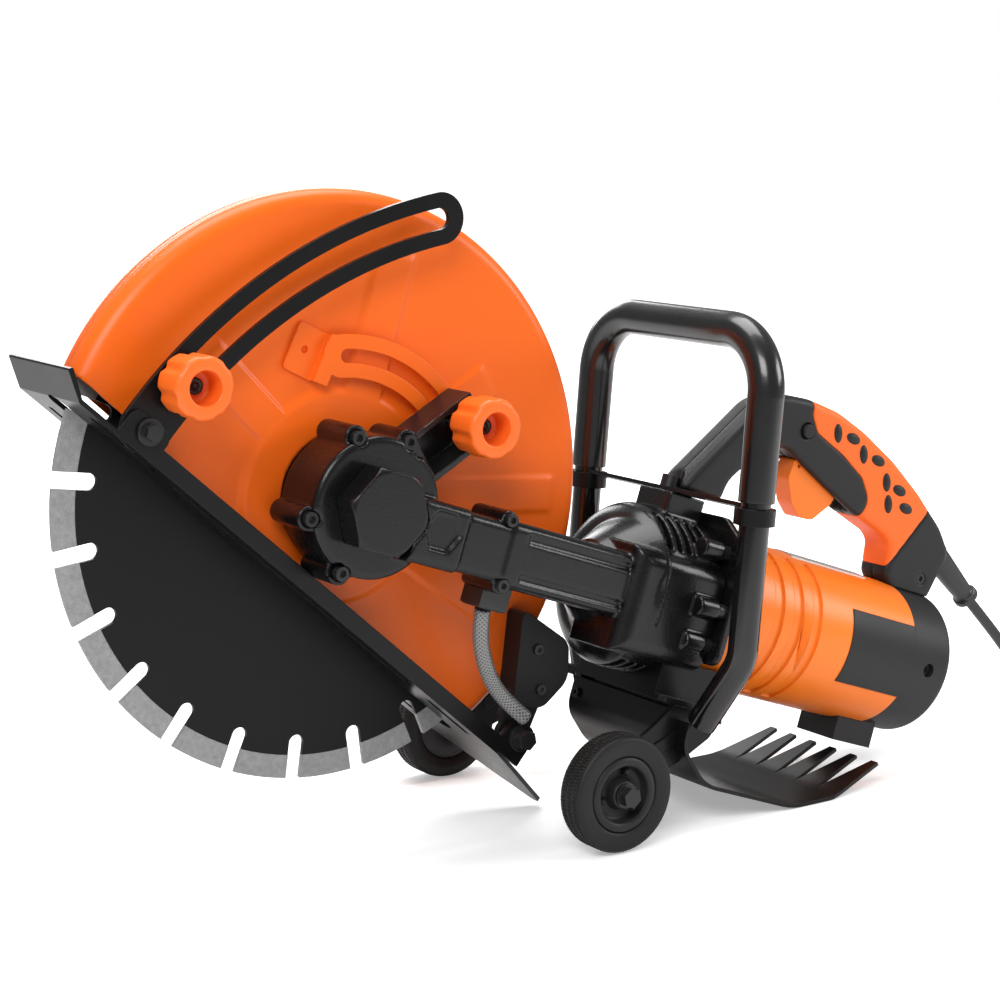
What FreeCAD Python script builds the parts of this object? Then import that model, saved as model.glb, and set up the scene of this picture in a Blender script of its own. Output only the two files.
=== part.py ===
import FreeCAD, Part
import math
import os

V = FreeCAD.Vector

# Everything is drawn in millimetres in the saw's own frame: X to the rear along the motor,
# Y to the right, Z up, origin at the middle of the blade.  place() then tips the saw nose
# up and stands it on the floor.
PITCH = 18.9
SHIFT_X = -194.7
SHIFT_Y = 14.5
SHIFT_Z = 258.94

# Blade and spindle
BLADE_R = 202.5
CORE_R = 186.0
CORE_T = 3.0
SEGMENT_T = 3.8
SEGMENT_COUNT = 24
SLOT_W = 11.5
SLOT_DEPTH = 31.0
SPINDLE_R = 12.5
FLANGE_R = 42.0

# Guard
GUARD_X = -3.0
GUARD_R = 209.7
GUARD_FACE_Y = -20.0
GUARD_FAR_Y = 14.0
SHEET = 1.5
GUARD_EDGE = [(-216.0, 33.0), (194.0, -143.6)]
SPIGOT_R = 45.0

# Hub, arm, gear case and motor
AXIS_Z = -6.5
ARM_Y = -74.0
MOTOR_Y = -45.0
HUB_R = 49.0
HUB_FRONT_Y = -76.0
HUB_BACK_Y = -30.0
CASE_R = 62.0
CASE_FRONT_X = 222.0
FLANGE_SCREWS = ((-98, 36), (-110, -6), (-104, -32), (6, 33), (17, -6), (11, -32))
MOTOR_R = 58.0
MOTOR_FRONT_X = 294.0
MOTOR_SEAM_X = 500.0
MOTOR_REAR_X = 545.0

# Base plate, drawn flat and turned by PLATE_TILT about the spindle
PLATE_TILT = 22.5
PLATE_TOP = -67.0
PLATE_T = 3.0
PLATE_LEFT = -45.0
PLATE_RIGHT = 50.0
PIVOT = (190.0, -133.0)
BAR_R = 382.0

# Wheels and skid
TRIGGER_X = 375.0
TRIGGER_Z = 118.0
WHEEL_X = 231.5
WHEEL_Z = -149.0
WHEEL_R = 43.0
WHEEL_W = 24.0
WHEEL_LEFT_Y = -128.0
WHEEL_RIGHT_Y = 99.0
AXLE_R = 6.0
FIT = 0.05

# Bail handle
BAIL_R = 11.0
BAIL_TOP_X = 232.7
BAIL_TOP_Z = 192.0
BAIL_LEFT_Y = -145.0
BAIL_RIGHT_Y = 55.0
SLEEVE_R = 13.2

NODES = {}
GROUPS = {}


def box(x0, x1, y0, y1, z0, z1):
    return Part.makeBox(x1 - x0, y1 - y0, z1 - z0, V(x0, y0, z0))


def rod_x(y, z, radius, x0, x1):
    return Part.makeCylinder(radius, x1 - x0, V(x0, y, z), V(1, 0, 0))


def rod_y(x, z, radius, y0, y1):
    return Part.makeCylinder(radius, y1 - y0, V(x, y0, z), V(0, 1, 0))


def rod_z(x, y, radius, z0, z1):
    return Part.makeCylinder(radius, z1 - z0, V(x, y, z0), V(0, 0, 1))


def ring_x(y, z, outer, inner, x0, x1):
    return rod_x(y, z, outer, x0, x1).cut(rod_x(y, z, inner, x0 - 1, x1 + 1))


def ring_y(x, z, outer, inner, y0, y1):
    return rod_y(x, z, outer, y0, y1).cut(rod_y(x, z, inner, y0 - 1, y1 + 1))


def cone_y(x, z, r0, r1, y0, y1):
    return Part.makeCone(r0, r1, y1 - y0, V(x, y0, z), V(0, 1, 0))


def cone_x(y, z, r0, r1, x0, x1):
    return Part.makeCone(r0, r1, x1 - x0, V(x0, y, z), V(1, 0, 0))


def fuse_all(shapes):
    result = shapes[0]
    if len(shapes) > 1:
        result = result.multiFuse(shapes[1:])
    return result.removeSplitter()


def rounded_edges(points, radii, lift):
    """Edges of a closed outline whose corners are tangent arcs; lift turns (u, v) into 3-D."""
    count = len(points)
    starts = []
    edges = []
    for i in range(count):
        a = points[i - 1]
        b = points[i]
        c = points[(i + 1) % count]
        radius = radii[i] if isinstance(radii, (list, tuple)) else radii
        d1 = V(a[0] - b[0], a[1] - b[1], 0)
        d2 = V(c[0] - b[0], c[1] - b[1], 0)
        n1 = d1.normalize()
        n2 = d2.normalize()
        corner = V(b[0], b[1], 0)
        half = n1.getAngle(n2) / 2.0
        if radius <= 0 or abs(half - math.pi / 2) < 1e-3:
            starts.append((corner, corner))
            continue
        reach = radius / math.tan(half)
        p1 = corner + n1 * reach
        p2 = corner + n2 * reach
        middle_dir = n1 + n2
        middle_dir.normalize()
        centre = corner + middle_dir * (radius / math.sin(half))
        mid = centre - middle_dir * radius
        starts.append((p1, p2))
        arc = Part.Arc(lift(p1.x, p1.y), lift(mid.x, mid.y), lift(p2.x, p2.y))
        edges.append((i, arc.toShape()))
    arcs = dict(edges)
    ordered = []
    for i in range(count):
        if i in arcs:
            ordered.append(arcs[i])
        p = starts[i][1]
        q = starts[(i + 1) % count][0]
        if (p - q).Length > 1e-6:
            ordered.append(Part.LineSegment(lift(p.x, p.y), lift(q.x, q.y)).toShape())
    return ordered


def plate_y(points, y0, y1, radii=0.0):
    """Outline in X and Z, extruded from y0 to y1."""
    edges = rounded_edges(points, radii, lambda u, v: V(u, y0, v))
    face = Part.Face(Part.Wire(Part.__sortEdges__(edges)))
    return face.extrude(V(0, y1 - y0, 0))


def plate_x(points, x0, x1, radii=0.0):
    """Outline in Y and Z, extruded from x0 to x1."""
    edges = rounded_edges(points, radii, lambda u, v: V(x0, u, v))
    face = Part.Face(Part.Wire(Part.__sortEdges__(edges)))
    return face.extrude(V(x1 - x0, 0, 0))


def plate_z(points, z0, z1, radii=0.0):
    """Outline in X and Y, extruded from z0 to z1."""
    edges = rounded_edges(points, radii, lambda u, v: V(u, v, z0))
    face = Part.Face(Part.Wire(Part.__sortEdges__(edges)))
    return face.extrude(V(0, 0, z1 - z0))


def hexagon(x, z, flats, y0, y1, turn=0.0):
    corner = flats / math.sqrt(3)
    points = []
    for i in range(6):
        a = math.radians(60 * i + turn)
        points.append((x + corner * math.cos(a), z + corner * math.sin(a)))
    return plate_y(points, y0, y1)


def arc_band(centre, radius, half, a0, a1, y0, y1):
    """A curved strip of the given half width with round ends, around centre in X and Z."""
    outer = radius + half
    inner = radius - half

    def at(r, a):
        return V(centre[0] + r * math.cos(a), y0, centre[1] + r * math.sin(a))

    a0 = math.radians(a0)
    a1 = math.radians(a1)
    mid = (a0 + a1) / 2.0
    end = half / radius
    edges = [
        Part.Arc(at(outer, a0), at(outer, mid), at(outer, a1)).toShape(),
        Part.Arc(at(outer, a1), at(radius, a1 + end), at(inner, a1)).toShape(),
        Part.Arc(at(inner, a1), at(inner, mid), at(inner, a0)).toShape(),
        Part.Arc(at(inner, a0), at(radius, a0 - end), at(outer, a0)).toShape(),
    ]
    face = Part.Face(Part.Wire(Part.__sortEdges__(edges)))
    return face.extrude(V(0, y1 - y0, 0))


def bent_path(points, radii):
    """A wire of straight runs joined by tangent arcs."""
    edges = []
    start = points[0]
    for i in range(1, len(points) - 1):
        corner = points[i]
        back = (points[i - 1] - corner).normalize()
        ahead = (points[i + 1] - corner).normalize()
        half = back.getAngle(ahead) / 2.0
        reach = radii[i - 1] / math.tan(half)
        p1 = corner + back * reach
        p2 = corner + ahead * reach
        bisector = (back + ahead).normalize()
        mid = corner + bisector * (radii[i - 1] / math.sin(half) - radii[i - 1])
        edges.append(Part.LineSegment(start, p1).toShape())
        edges.append(Part.Arc(p1, mid, p2).toShape())
        start = p2
    edges.append(Part.LineSegment(start, points[-1]).toShape())
    return Part.Wire(edges)


def tube(points, radii, radius):
    """A round bar swept along a bent path."""
    path = bent_path(points, radii)
    first = (points[1] - points[0]).normalize()
    ring = Part.Wire(Part.makeCircle(radius, points[0], first))
    sweep = Part.BRepOffsetAPI.MakePipeShell(path)
    sweep.add(ring)
    sweep.build()
    sweep.makeSolid()
    return sweep.shape()


def rounded(shape, radius, picked):
    """Fillet of every edge for which picked(edge) is true."""
    chosen = [edge for edge in shape.Edges if picked(edge)]
    return shape.makeFillet(radius, chosen)


def on_plane(axis, value):
    """Edge test: the whole edge lies at one value of X, Y or Z."""

    def test(edge):
        low = (edge.BoundBox.XMin, edge.BoundBox.YMin, edge.BoundBox.ZMin)[axis]
        high = (edge.BoundBox.XMax, edge.BoundBox.YMax, edge.BoundBox.ZMax)[axis]
        return abs(low - value) < 1e-3 and abs(high - value) < 1e-3

    return test


def turned_y(shape, degrees, centre=V(0, 0, 0)):
    copy = shape.copy()
    copy.rotate(centre, V(0, 1, 0), degrees)
    return copy


def turned_x(shape, degrees, y, z):
    copy = shape.copy()
    copy.rotate(V(0, y, z), V(1, 0, 0), degrees)
    return copy


def floor_level(x):
    """Height, in the saw's own frame, at which the floor passes under x."""
    a = math.radians(PITCH)
    return (x * math.sin(a) - SHIFT_Z) / math.cos(a)


def place_point(x, y, z):
    a = math.radians(PITCH)
    return V(
        x * math.cos(a) + z * math.sin(a) + SHIFT_X,
        y + SHIFT_Y,
        -x * math.sin(a) + z * math.cos(a) + SHIFT_Z,
    )


def place(shape):
    copy = turned_y(shape, PITCH)
    copy.translate(V(SHIFT_X, SHIFT_Y, SHIFT_Z))
    return copy


def keep(name, shape):
    NODES[name] = shape


def add_to(name, shapes):
    """Small fasteners and bearings of one kind share a node as a group of solids."""
    GROUPS.setdefault(name, []).extend(shapes)


# ---------------------------------------------------------------- blade and spindle

def build_blade():
    core = rod_y(0, 0, CORE_R, -CORE_T / 2, CORE_T / 2)
    core = core.cut(rod_y(0, 0, SPINDLE_R, -CORE_T, CORE_T))
    ring = ring_y(0, 0, BLADE_R, CORE_R, -SEGMENT_T / 2, SEGMENT_T / 2)
    cutters = []
    for i in range(SEGMENT_COUNT):
        end = BLADE_R - SLOT_DEPTH + SLOT_W / 2
        slot = box(end, BLADE_R + 5, -5, 5, -SLOT_W / 2, SLOT_W / 2)
        slot = slot.fuse(rod_y(end, 0, SLOT_W / 2, -5, 5))
        cutters.append(turned_y(slot, 360.0 * i / SEGMENT_COUNT + 4.0))
    group = Part.makeCompound(cutters)
    keep("blade_core", core.cut(group))
    keep("blade_segments", ring.cut(group))


def build_spindle():
    shaft = rod_y(0, 0, SPINDLE_R, -66, 9.5)
    shaft = shaft.fuse(rod_y(0, 0, 8, -88, -66))
    keep("spindle_shaft", shaft)
    inner = rod_y(0, 0, FLANGE_R, -10, -CORE_T / 2)
    inner = inner.cut(rod_y(0, 0, SPINDLE_R, -12, 0))
    inner = inner.cut(ring_y(0, 0, FLANGE_R - 10, 20, -3, 0))
    keep("inner_flange", inner)
    outer = rod_y(0, 0, FLANGE_R, CORE_T / 2, 9.5)
    outer = rounded(outer, 2.0, on_plane(1, 9.5))
    outer = outer.cut(rod_y(0, 0, SPINDLE_R, 0, 12))
    outer = outer.cut(ring_y(0, 0, FLANGE_R - 10, 20, 0, 3))
    keep("outer_flange", outer)
    bolt = rod_y(0, 0, 17, 9.5, 12).fuse(hexagon(0, 0, 24, 12, 19))
    keep("blade_bolt", bolt)
    gear = rod_y(0, 0, 36, -59.5, -49.5)
    teeth = []
    for i in range(30):
        notch = box(31.5, 40, -62, -54, -1.2, 1.2)
        teeth.append(turned_y(notch, 12.0 * i))
    gear = gear.cut(Part.makeCompound(teeth)).cut(rod_y(0, 0, SPINDLE_R, -62, -46))
    keep("ring_gear", gear)


# ---------------------------------------------------------------- arm shaft and armature

def toothed_x(y, z, radius, depth, count, x0, x1):
    blank = rod_x(y, z, radius, x0, x1)
    width = math.pi * radius / count * 0.9
    notches = []
    for i in range(count):
        notch = box(x0 - 1, x1 + 1, y - width / 2, y + width / 2, z + radius - depth, z + radius + 3)
        notches.append(turned_x(notch, 360.0 * i / count, y, z))
    return blank.cut(Part.makeCompound(notches))


def build_drive():
    pinion = toothed_x(ARM_Y, AXIS_Z, 13.5, 3.0, 11, 22, 42)
    keep("arm_shaft", rod_x(ARM_Y, AXIS_Z, 8, 20, 268).fuse(pinion))
    wheel = toothed_x(ARM_Y, AXIS_Z, 21.5, 2.6, 34, 246, 262)
    keep("reduction_gear", wheel.cut(rod_x(ARM_Y, AXIS_Z, 8, 240, 270)))
    small = toothed_x(MOTOR_Y, AXIS_Z, 7.0, 1.4, 9, 244, 266)
    keep("motor_shaft", rod_x(MOTOR_Y, AXIS_Z, 5, 243, 540).fuse(small))
    core = toothed_x(MOTOR_Y, AXIS_Z, 30, 9, 16, 350, 425)
    keep("armature_core", core.cut(rod_x(MOTOR_Y, AXIS_Z, 5, 340, 440)))
    keep("commutator", ring_x(MOTOR_Y, AXIS_Z, 17, 5, 462, 488))
    hub = ring_x(MOTOR_Y, AXIS_Z, 14, 5, 306, 326)
    disc = ring_x(MOTOR_Y, AXIS_Z, 48, 14, 306, 308.5)
    vanes = []
    for i in range(12):
        vane = box(308.5, 324, MOTOR_Y - 1, MOTOR_Y + 1, AXIS_Z + 13.6, AXIS_Z + 46)
        vanes.append(turned_x(vane, 30.0 * i, MOTOR_Y, AXIS_Z))
    keep("cooling_fan", fuse_all([hub, disc] + vanes))


# ---------------------------------------------------------------- hub and arm

HUB_SCREWS = (124.0, 76.0, 202.0, 256.0)
DEPTH_CLAMP_ANGLE = math.radians(152.4)    # on the depth bar, round its pivot
GUARD_LOCK_ANGLE = math.radians(48.5)      # on the guard's arc bracket, round the spindle
GUARD_LOCK_R = 98.0


def build_hub():
    body = rod_y(0, 0, HUB_R, HUB_FRONT_Y, HUB_BACK_Y)
    body = rounded(body, 4.0, on_plane(1, HUB_FRONT_Y))
    bosses = []
    for angle in HUB_SCREWS:
        a = math.radians(angle)
        bosses.append(rod_y(50 * math.cos(a), 50 * math.sin(a), 8.5, -70, HUB_BACK_Y))
    neck = box(20, 60, -98, -50, AXIS_Z - 22.5, AXIS_Z + 22.5)
    neck = rounded(neck, 6.0, lambda e: abs(e.BoundBox.XLength - 40) < 0.1 and e.BoundBox.YMin < -90)
    spigot = rod_y(0, 0, SPIGOT_R, HUB_BACK_Y, -14)
    body = fuse_all([body, neck, spigot] + bosses)
    heads = []
    for angle in HUB_SCREWS:
        a = math.radians(angle)
        x = 50 * math.cos(a)
        z = 50 * math.sin(a)
        body = body.cut(rod_y(x, z, 5.5, -80, -68))
        heads.append(rod_y(x, z, 5, -74, -68).cut(hexagon(x, z, 5, -76, -71)))
    body = body.cut(rod_y(0, 0, 40, -70, -36))
    body = body.cut(rod_y(0, 0, 20, -37, 0))
    body = body.cut(rod_y(0, 0, 14, HUB_FRONT_Y - 1, -69))
    body = body.cut(rod_x(ARM_Y, AXIS_Z, 16, 16, 61))
    body = body.cut(hexagon(41, AXIS_Z + 3, 26, -99, -95.5))
    for angle in (65.0, 250.0):
        a = math.radians(angle)
        body = body.cut(rod_y(50 * math.cos(a), 50 * math.sin(a), 5.5, -80, -66))
    # the hexagon of the cap and the neck share a corner, so the cap is let into the neck
    cap_room = hexagon(-3, -1, 56, -98.5, HUB_FRONT_Y)
    body = body.cut(cap_room)
    keep("hub_housing", body)
    cap = hexagon(-3, -1, 55, -98, HUB_FRONT_Y)
    cap = cap.common(cone_y(-3, -1, 28.5, 44, -98, -84).fuse(rod_y(-3, -1, 44, -84, HUB_FRONT_Y)))
    cap = cap.cut(rod_y(0, 0, 14, -90, HUB_FRONT_Y + 1))
    cap = cap.cut(rod_x(ARM_Y, AXIS_Z, 16, 16, 61))
    keep("hub_cap", cap)
    add_to("ball_bearings", [ring_y(0, 0, 14, 8 + FIT, -88, -78)])
    add_to("ball_bearings", [ring_y(0, 0, 20, SPINDLE_R + FIT, -32, -18)])
    add_to("case_screws", heads)


def build_arm():
    front = box(60, 98, -97, -51, AXIS_Z - 21, AXIS_Z + 21)
    rear = box(98, 232, -98, -50, AXIS_Z - 23.5, AXIS_Z + 23.5)

    def long_edge(e):
        return e.BoundBox.XLength > 30 and e.BoundBox.YLength < 0.1 and e.BoundBox.ZLength < 0.1

    front = rounded(front, 6.0, long_edge)
    rear = rounded(rear, 7.0, long_edge)
    flare = cone_x(-56, AXIS_Z, 26, 56, 196, 232)
    case = rod_x(MOTOR_Y, AXIS_Z, CASE_R, CASE_FRONT_X, 288)
    case = rounded(case, 18.0, on_plane(0, CASE_FRONT_X))
    lug_top = rod_y(94, AXIS_Z + 23, 6.5, -94, -54)
    lug_low = rod_y(101, AXIS_Z - 22, 6.5, -94, -54)
    shoulder = box(204, 288, -107, -50, AXIS_Z - 47, AXIS_Z + 31)
    shoulder = rounded(shoulder, 13.0, lambda e: e.BoundBox.YMax < -100 and e.BoundBox.XMin < 287)
    body = fuse_all([front, rear, flare, case, shoulder, lug_top, lug_low])
    # shallow rounded channels along the top and bottom of the near side
    channel = box(112, 206, -99.5, -96, AXIS_Z + 11, AXIS_Z + 17)
    body = body.cut(channel)
    body = body.cut(box(112, 206, -99.5, -96, AXIS_Z - 17, AXIS_Z - 11))
    body = body.cut(rod_x(ARM_Y, AXIS_Z, 16, 59, 228))
    body = body.cut(rod_x(ARM_Y, AXIS_Z, 9, 220, 260))
    body = body.cut(rod_x(MOTOR_Y, AXIS_Z, CASE_R - 6, 240, 289))
    vents = []
    for i in range(5):
        x = CASE_FRONT_X + 14 + 9 * i
        vents.append(box(x, x + 4.8, -96, -66, AXIS_Z + 33, AXIS_Z + 70))
        vents.append(box(x, x + 4.8, -24, 6, AXIS_Z + 20, AXIS_Z + 70))
        vents.append(box(x, x + 4.8, -78, -20, AXIS_Z - 70, AXIS_Z - 48))
    body = body.cut(Part.makeCompound(vents))
    mount = box(250, 284, -64, -26, AXIS_Z + 40, 70)
    mount = mount.cut(rod_x(MOTOR_Y, AXIS_Z, CASE_R - 3, 240, 300))
    body = body.fuse(mount).removeSplitter()
    lugs = ((94, AXIS_Z + 23), (101, AXIS_Z - 22))
    for x, z in lugs:
        body = body.cut(rod_y(x, z, 4.5, -99, -94))
    keep("arm_casting", body)
    for x in (64, 216):
        add_to("ball_bearings", [ring_x(ARM_Y, AXIS_Z, 16, 8 + FIT, x, x + 12)])
    lug_screws = []
    for x, z in lugs:
        lug_screws.append(rod_y(x, z, 4.5, -98, -94).cut(hexagon(x, z, 4.5, -99, -95.5)))
    add_to("case_screws", lug_screws)


def build_flange():
    outline = [(-118, -46), (28, -46), (28, 46), (-8, 62), (-86, 62), (-118, 42)]
    plate = plate_x(outline, 288, MOTOR_FRONT_X, 10.0)
    plate = plate.cut(rod_x(MOTOR_Y, AXIS_Z, 12, 280, 300))
    keep("flange_plate", plate)
    add_to("ball_bearings", [ring_x(MOTOR_Y, AXIS_Z, 12, 5 + FIT, 286, 294)])
    screws = []
    for y, z in FLANGE_SCREWS:
        head = rod_x(y, z, 5.5, 281, 288).cut(rod_x(y, z, 2.8, 280, 284.5))
        screws.append(head)
    body = NODES["arm_casting"]
    ears = []
    for y, z in FLANGE_SCREWS:
        ears.append(rod_x(y, z, 7.5, 262, 281))
    ears = [ear.cut(rod_x(MOTOR_Y, AXIS_Z, CASE_R - 3, 240, 300)) for ear in ears]
    body = body.multiFuse(ears).removeSplitter()
    for y, z in FLANGE_SCREWS:
        body = body.cut(rod_x(y, z, 5.5, 281, 290))
    keep("arm_casting", body)
    add_to("case_screws", screws)


# ---------------------------------------------------------------- motor

def build_motor():
    shell = rod_x(MOTOR_Y, AXIS_Z, MOTOR_R, MOTOR_FRONT_X, MOTOR_SEAM_X)
    shell = shell.cut(rod_x(MOTOR_Y, AXIS_Z, MOTOR_R - 5, MOTOR_FRONT_X + 4, MOTOR_SEAM_X + 1))
    shell = shell.cut(rod_x(MOTOR_Y, AXIS_Z, 13, 290, 300))
    for x in (346.0, 366.0, 386.0):
        groove = ring_x(MOTOR_Y, AXIS_Z, MOTOR_R + 3, MOTOR_R - 2.0, x, x + 10)
        keep_out = box(x - 1, x + 11, MOTOR_Y - 22, MOTOR_Y + 22, -80, 80)
        shell = shell.cut(groove.cut(keep_out))
    tab_box = box(430, MOTOR_SEAM_X, -110, -80, -34, 23)
    far_box = box(430, MOTOR_SEAM_X, -10, 20, -34, 23)
    skin = ring_x(MOTOR_Y, AXIS_Z, MOTOR_R + 0.6, MOTOR_R - 2, 430, MOTOR_SEAM_X)
    tabs = skin.common(tab_box.fuse(far_box))
    shell = shell.cut(ring_x(MOTOR_Y, AXIS_Z, MOTOR_R + 1, MOTOR_R - 2, 430, 501).common(tab_box))
    shell = shell.cut(ring_x(MOTOR_Y, AXIS_Z, MOTOR_R + 1, MOTOR_R - 2, 430, 501).common(far_box))
    plate_room = ring_x(MOTOR_Y, AXIS_Z, MOTOR_R + 3, MOTOR_R - 0.4, 384, 466)
    plate_room = plate_room.common(box(384, 466, -62, -28, 20, 80))
    keep("motor_housing", shell.cut(plate_room))
    badge = ring_x(MOTOR_Y, AXIS_Z, MOTOR_R + 0.8, MOTOR_R - 0.4, 384, 466)
    keep("blank_plate", badge.common(box(384, 466, -62, -28, 20, 80)))
    cap = rod_x(MOTOR_Y, AXIS_Z, MOTOR_R - 0.5, MOTOR_SEAM_X, MOTOR_REAR_X)
    cap = rounded(cap, 7.0, on_plane(0, MOTOR_REAR_X))
    cap = cap.cut(rod_x(MOTOR_Y, AXIS_Z, MOTOR_R - 5, MOTOR_SEAM_X - 1, MOTOR_REAR_X - 5))
    seat = ring_x(MOTOR_Y, AXIS_Z, 15, 10, 528, MOTOR_REAR_X - 4)
    cap = fuse_all([cap, seat])
    slots = []
    for i in range(7):
        z = AXIS_Z - 30 + 10 * i
        slots.append(box(538, 548, MOTOR_Y - 34, MOTOR_Y - 17, z - 2, z + 2))
        slots.append(box(538, 548, MOTOR_Y + 17, MOTOR_Y + 34, z - 2, z + 2))
    cap = cap.cut(Part.makeCompound(slots))
    cap = fuse_all([cap, tabs])
    foot = box(474, 516, -66, -24, -80, -40)
    foot = foot.cut(rod_x(MOTOR_Y, AXIS_Z, MOTOR_R, 470, 501))
    foot = foot.cut(rod_x(MOTOR_Y, AXIS_Z, MOTOR_R - 3, 499, 540))
    cap = fuse_all([cap, foot])
    cap = cap.cut(rod_y(520, AXIS_Z - 1, 5.5, -110, -95))
    keep("motor_end_cap", cap)
    add_to("ball_bearings", [ring_x(MOTOR_Y, AXIS_Z, 10, 5 + FIT, 529, 539)])
    cap_screw = rod_y(520, AXIS_Z - 1, 5, -98.5, -95).cut(hexagon(520, AXIS_Z - 1, 5, -99, -97))
    add_to("case_screws", [cap_screw])
    stator = ring_x(MOTOR_Y, AXIS_Z, MOTOR_R - 5, 31, 345, 430)
    side_cut = box(340, 440, MOTOR_Y - 60, MOTOR_Y - 47, -80, 80)
    stator = stator.cut(side_cut).cut(box(340, 440, MOTOR_Y + 47, MOTOR_Y + 60, -80, 80))
    keep("stator", stator)
    brushes = []
    holders = []
    for sign in (-1, 1):
        a = MOTOR_Y + sign * 17.4
        b = MOTOR_Y + sign * 34
        brushes.append(box(470, 480, min(a, b), max(a, b), AXIS_Z - 4, AXIS_Z + 4))
        c = MOTOR_Y + sign * 20
        d = MOTOR_Y + sign * 50
        block = box(464, 486, min(c, d), max(c, d), AXIS_Z - 9, AXIS_Z + 9)
        e = MOTOR_Y + sign * 10
        f = MOTOR_Y + sign * 40
        holders.append(block.cut(box(470, 480, min(e, f), max(e, f), AXIS_Z - 4, AXIS_Z + 4)))
    keep("brush_gear", Part.makeCompound(brushes + holders))


# ---------------------------------------------------------------- guard

def guard_outline(grow, drop):
    """Closed face edges of the guard at y = 0: most of a circle, a tail and a straight edge."""
    radius = GUARD_R + grow
    (x0, z0), (x1, z1) = GUARD_EDGE
    length = math.hypot(x1 - x0, z1 - z0)
    nx = (z1 - z0) / length
    nz = -(x1 - x0) / length
    ax = x0 + nx * drop
    az = z0 + nz * drop
    dx = (x1 - x0) / length
    dz = (z1 - z0) / length
    # where the straight edge meets the circle on the left
    fx = ax - GUARD_X
    b = fx * dx + az * dz
    c = fx * fx + az * az - radius * radius
    t = -b - math.sqrt(b * b - c)
    left = V(ax + t * dx, 0, az + t * dz)
    tail = V(ax + dx * (length + grow), 0, az + dz * (length + grow))
    a_right = math.radians(-20.0)
    right = V(GUARD_X + radius * math.cos(a_right), 0, radius * math.sin(a_right))
    top = V(GUARD_X + radius * math.cos(1.4), 0, radius * math.sin(1.4))
    arc = Part.Arc(left, top, right).toShape()
    side = Part.LineSegment(right, tail).toShape()
    base = Part.LineSegment(tail, left).toShape()
    return Part.Face(Part.Wire([arc, side, base]))


def guard_half(face_y, seam_y, shoulder):
    depth = face_y - seam_y
    outer = guard_outline(0.0, 0.0)
    outer.translate(V(0, seam_y, 0))
    solid = outer.extrude(V(0, depth, 0))
    solid = rounded(solid, shoulder, lambda e: on_plane(1, face_y)(e) and e.BoundBox.ZMax > -60
                    and e.BoundBox.ZLength > 190)
    inner = guard_outline(-SHEET, 14.0)
    back = -SHEET if depth < 0 else SHEET
    inner.translate(V(0, seam_y + back, 0))
    hollow = inner.extrude(V(0, depth - 2 * back, 0))
    hollow = rounded(hollow, shoulder - SHEET, lambda e: on_plane(1, face_y - back)(e)
                     and e.BoundBox.ZLength > 190)
    mouth = guard_outline(-SHEET, 14.0)
    mouth.translate(V(0, seam_y - back, 0))
    mouth = mouth.extrude(V(0, 3 * back, 0))
    return solid.cut(hollow).cut(mouth)


def emboss(angle, r0, r1, width, height, y):
    """A raised rib on the left face of the guard, pointing away from the spindle."""
    rib = box(r0, r1, y - height, y, -width / 2, width / 2)
    rib = rounded(rib, min(height, width / 2) * 0.8, on_plane(1, y - height))
    return turned_y(rib, -angle)


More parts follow.
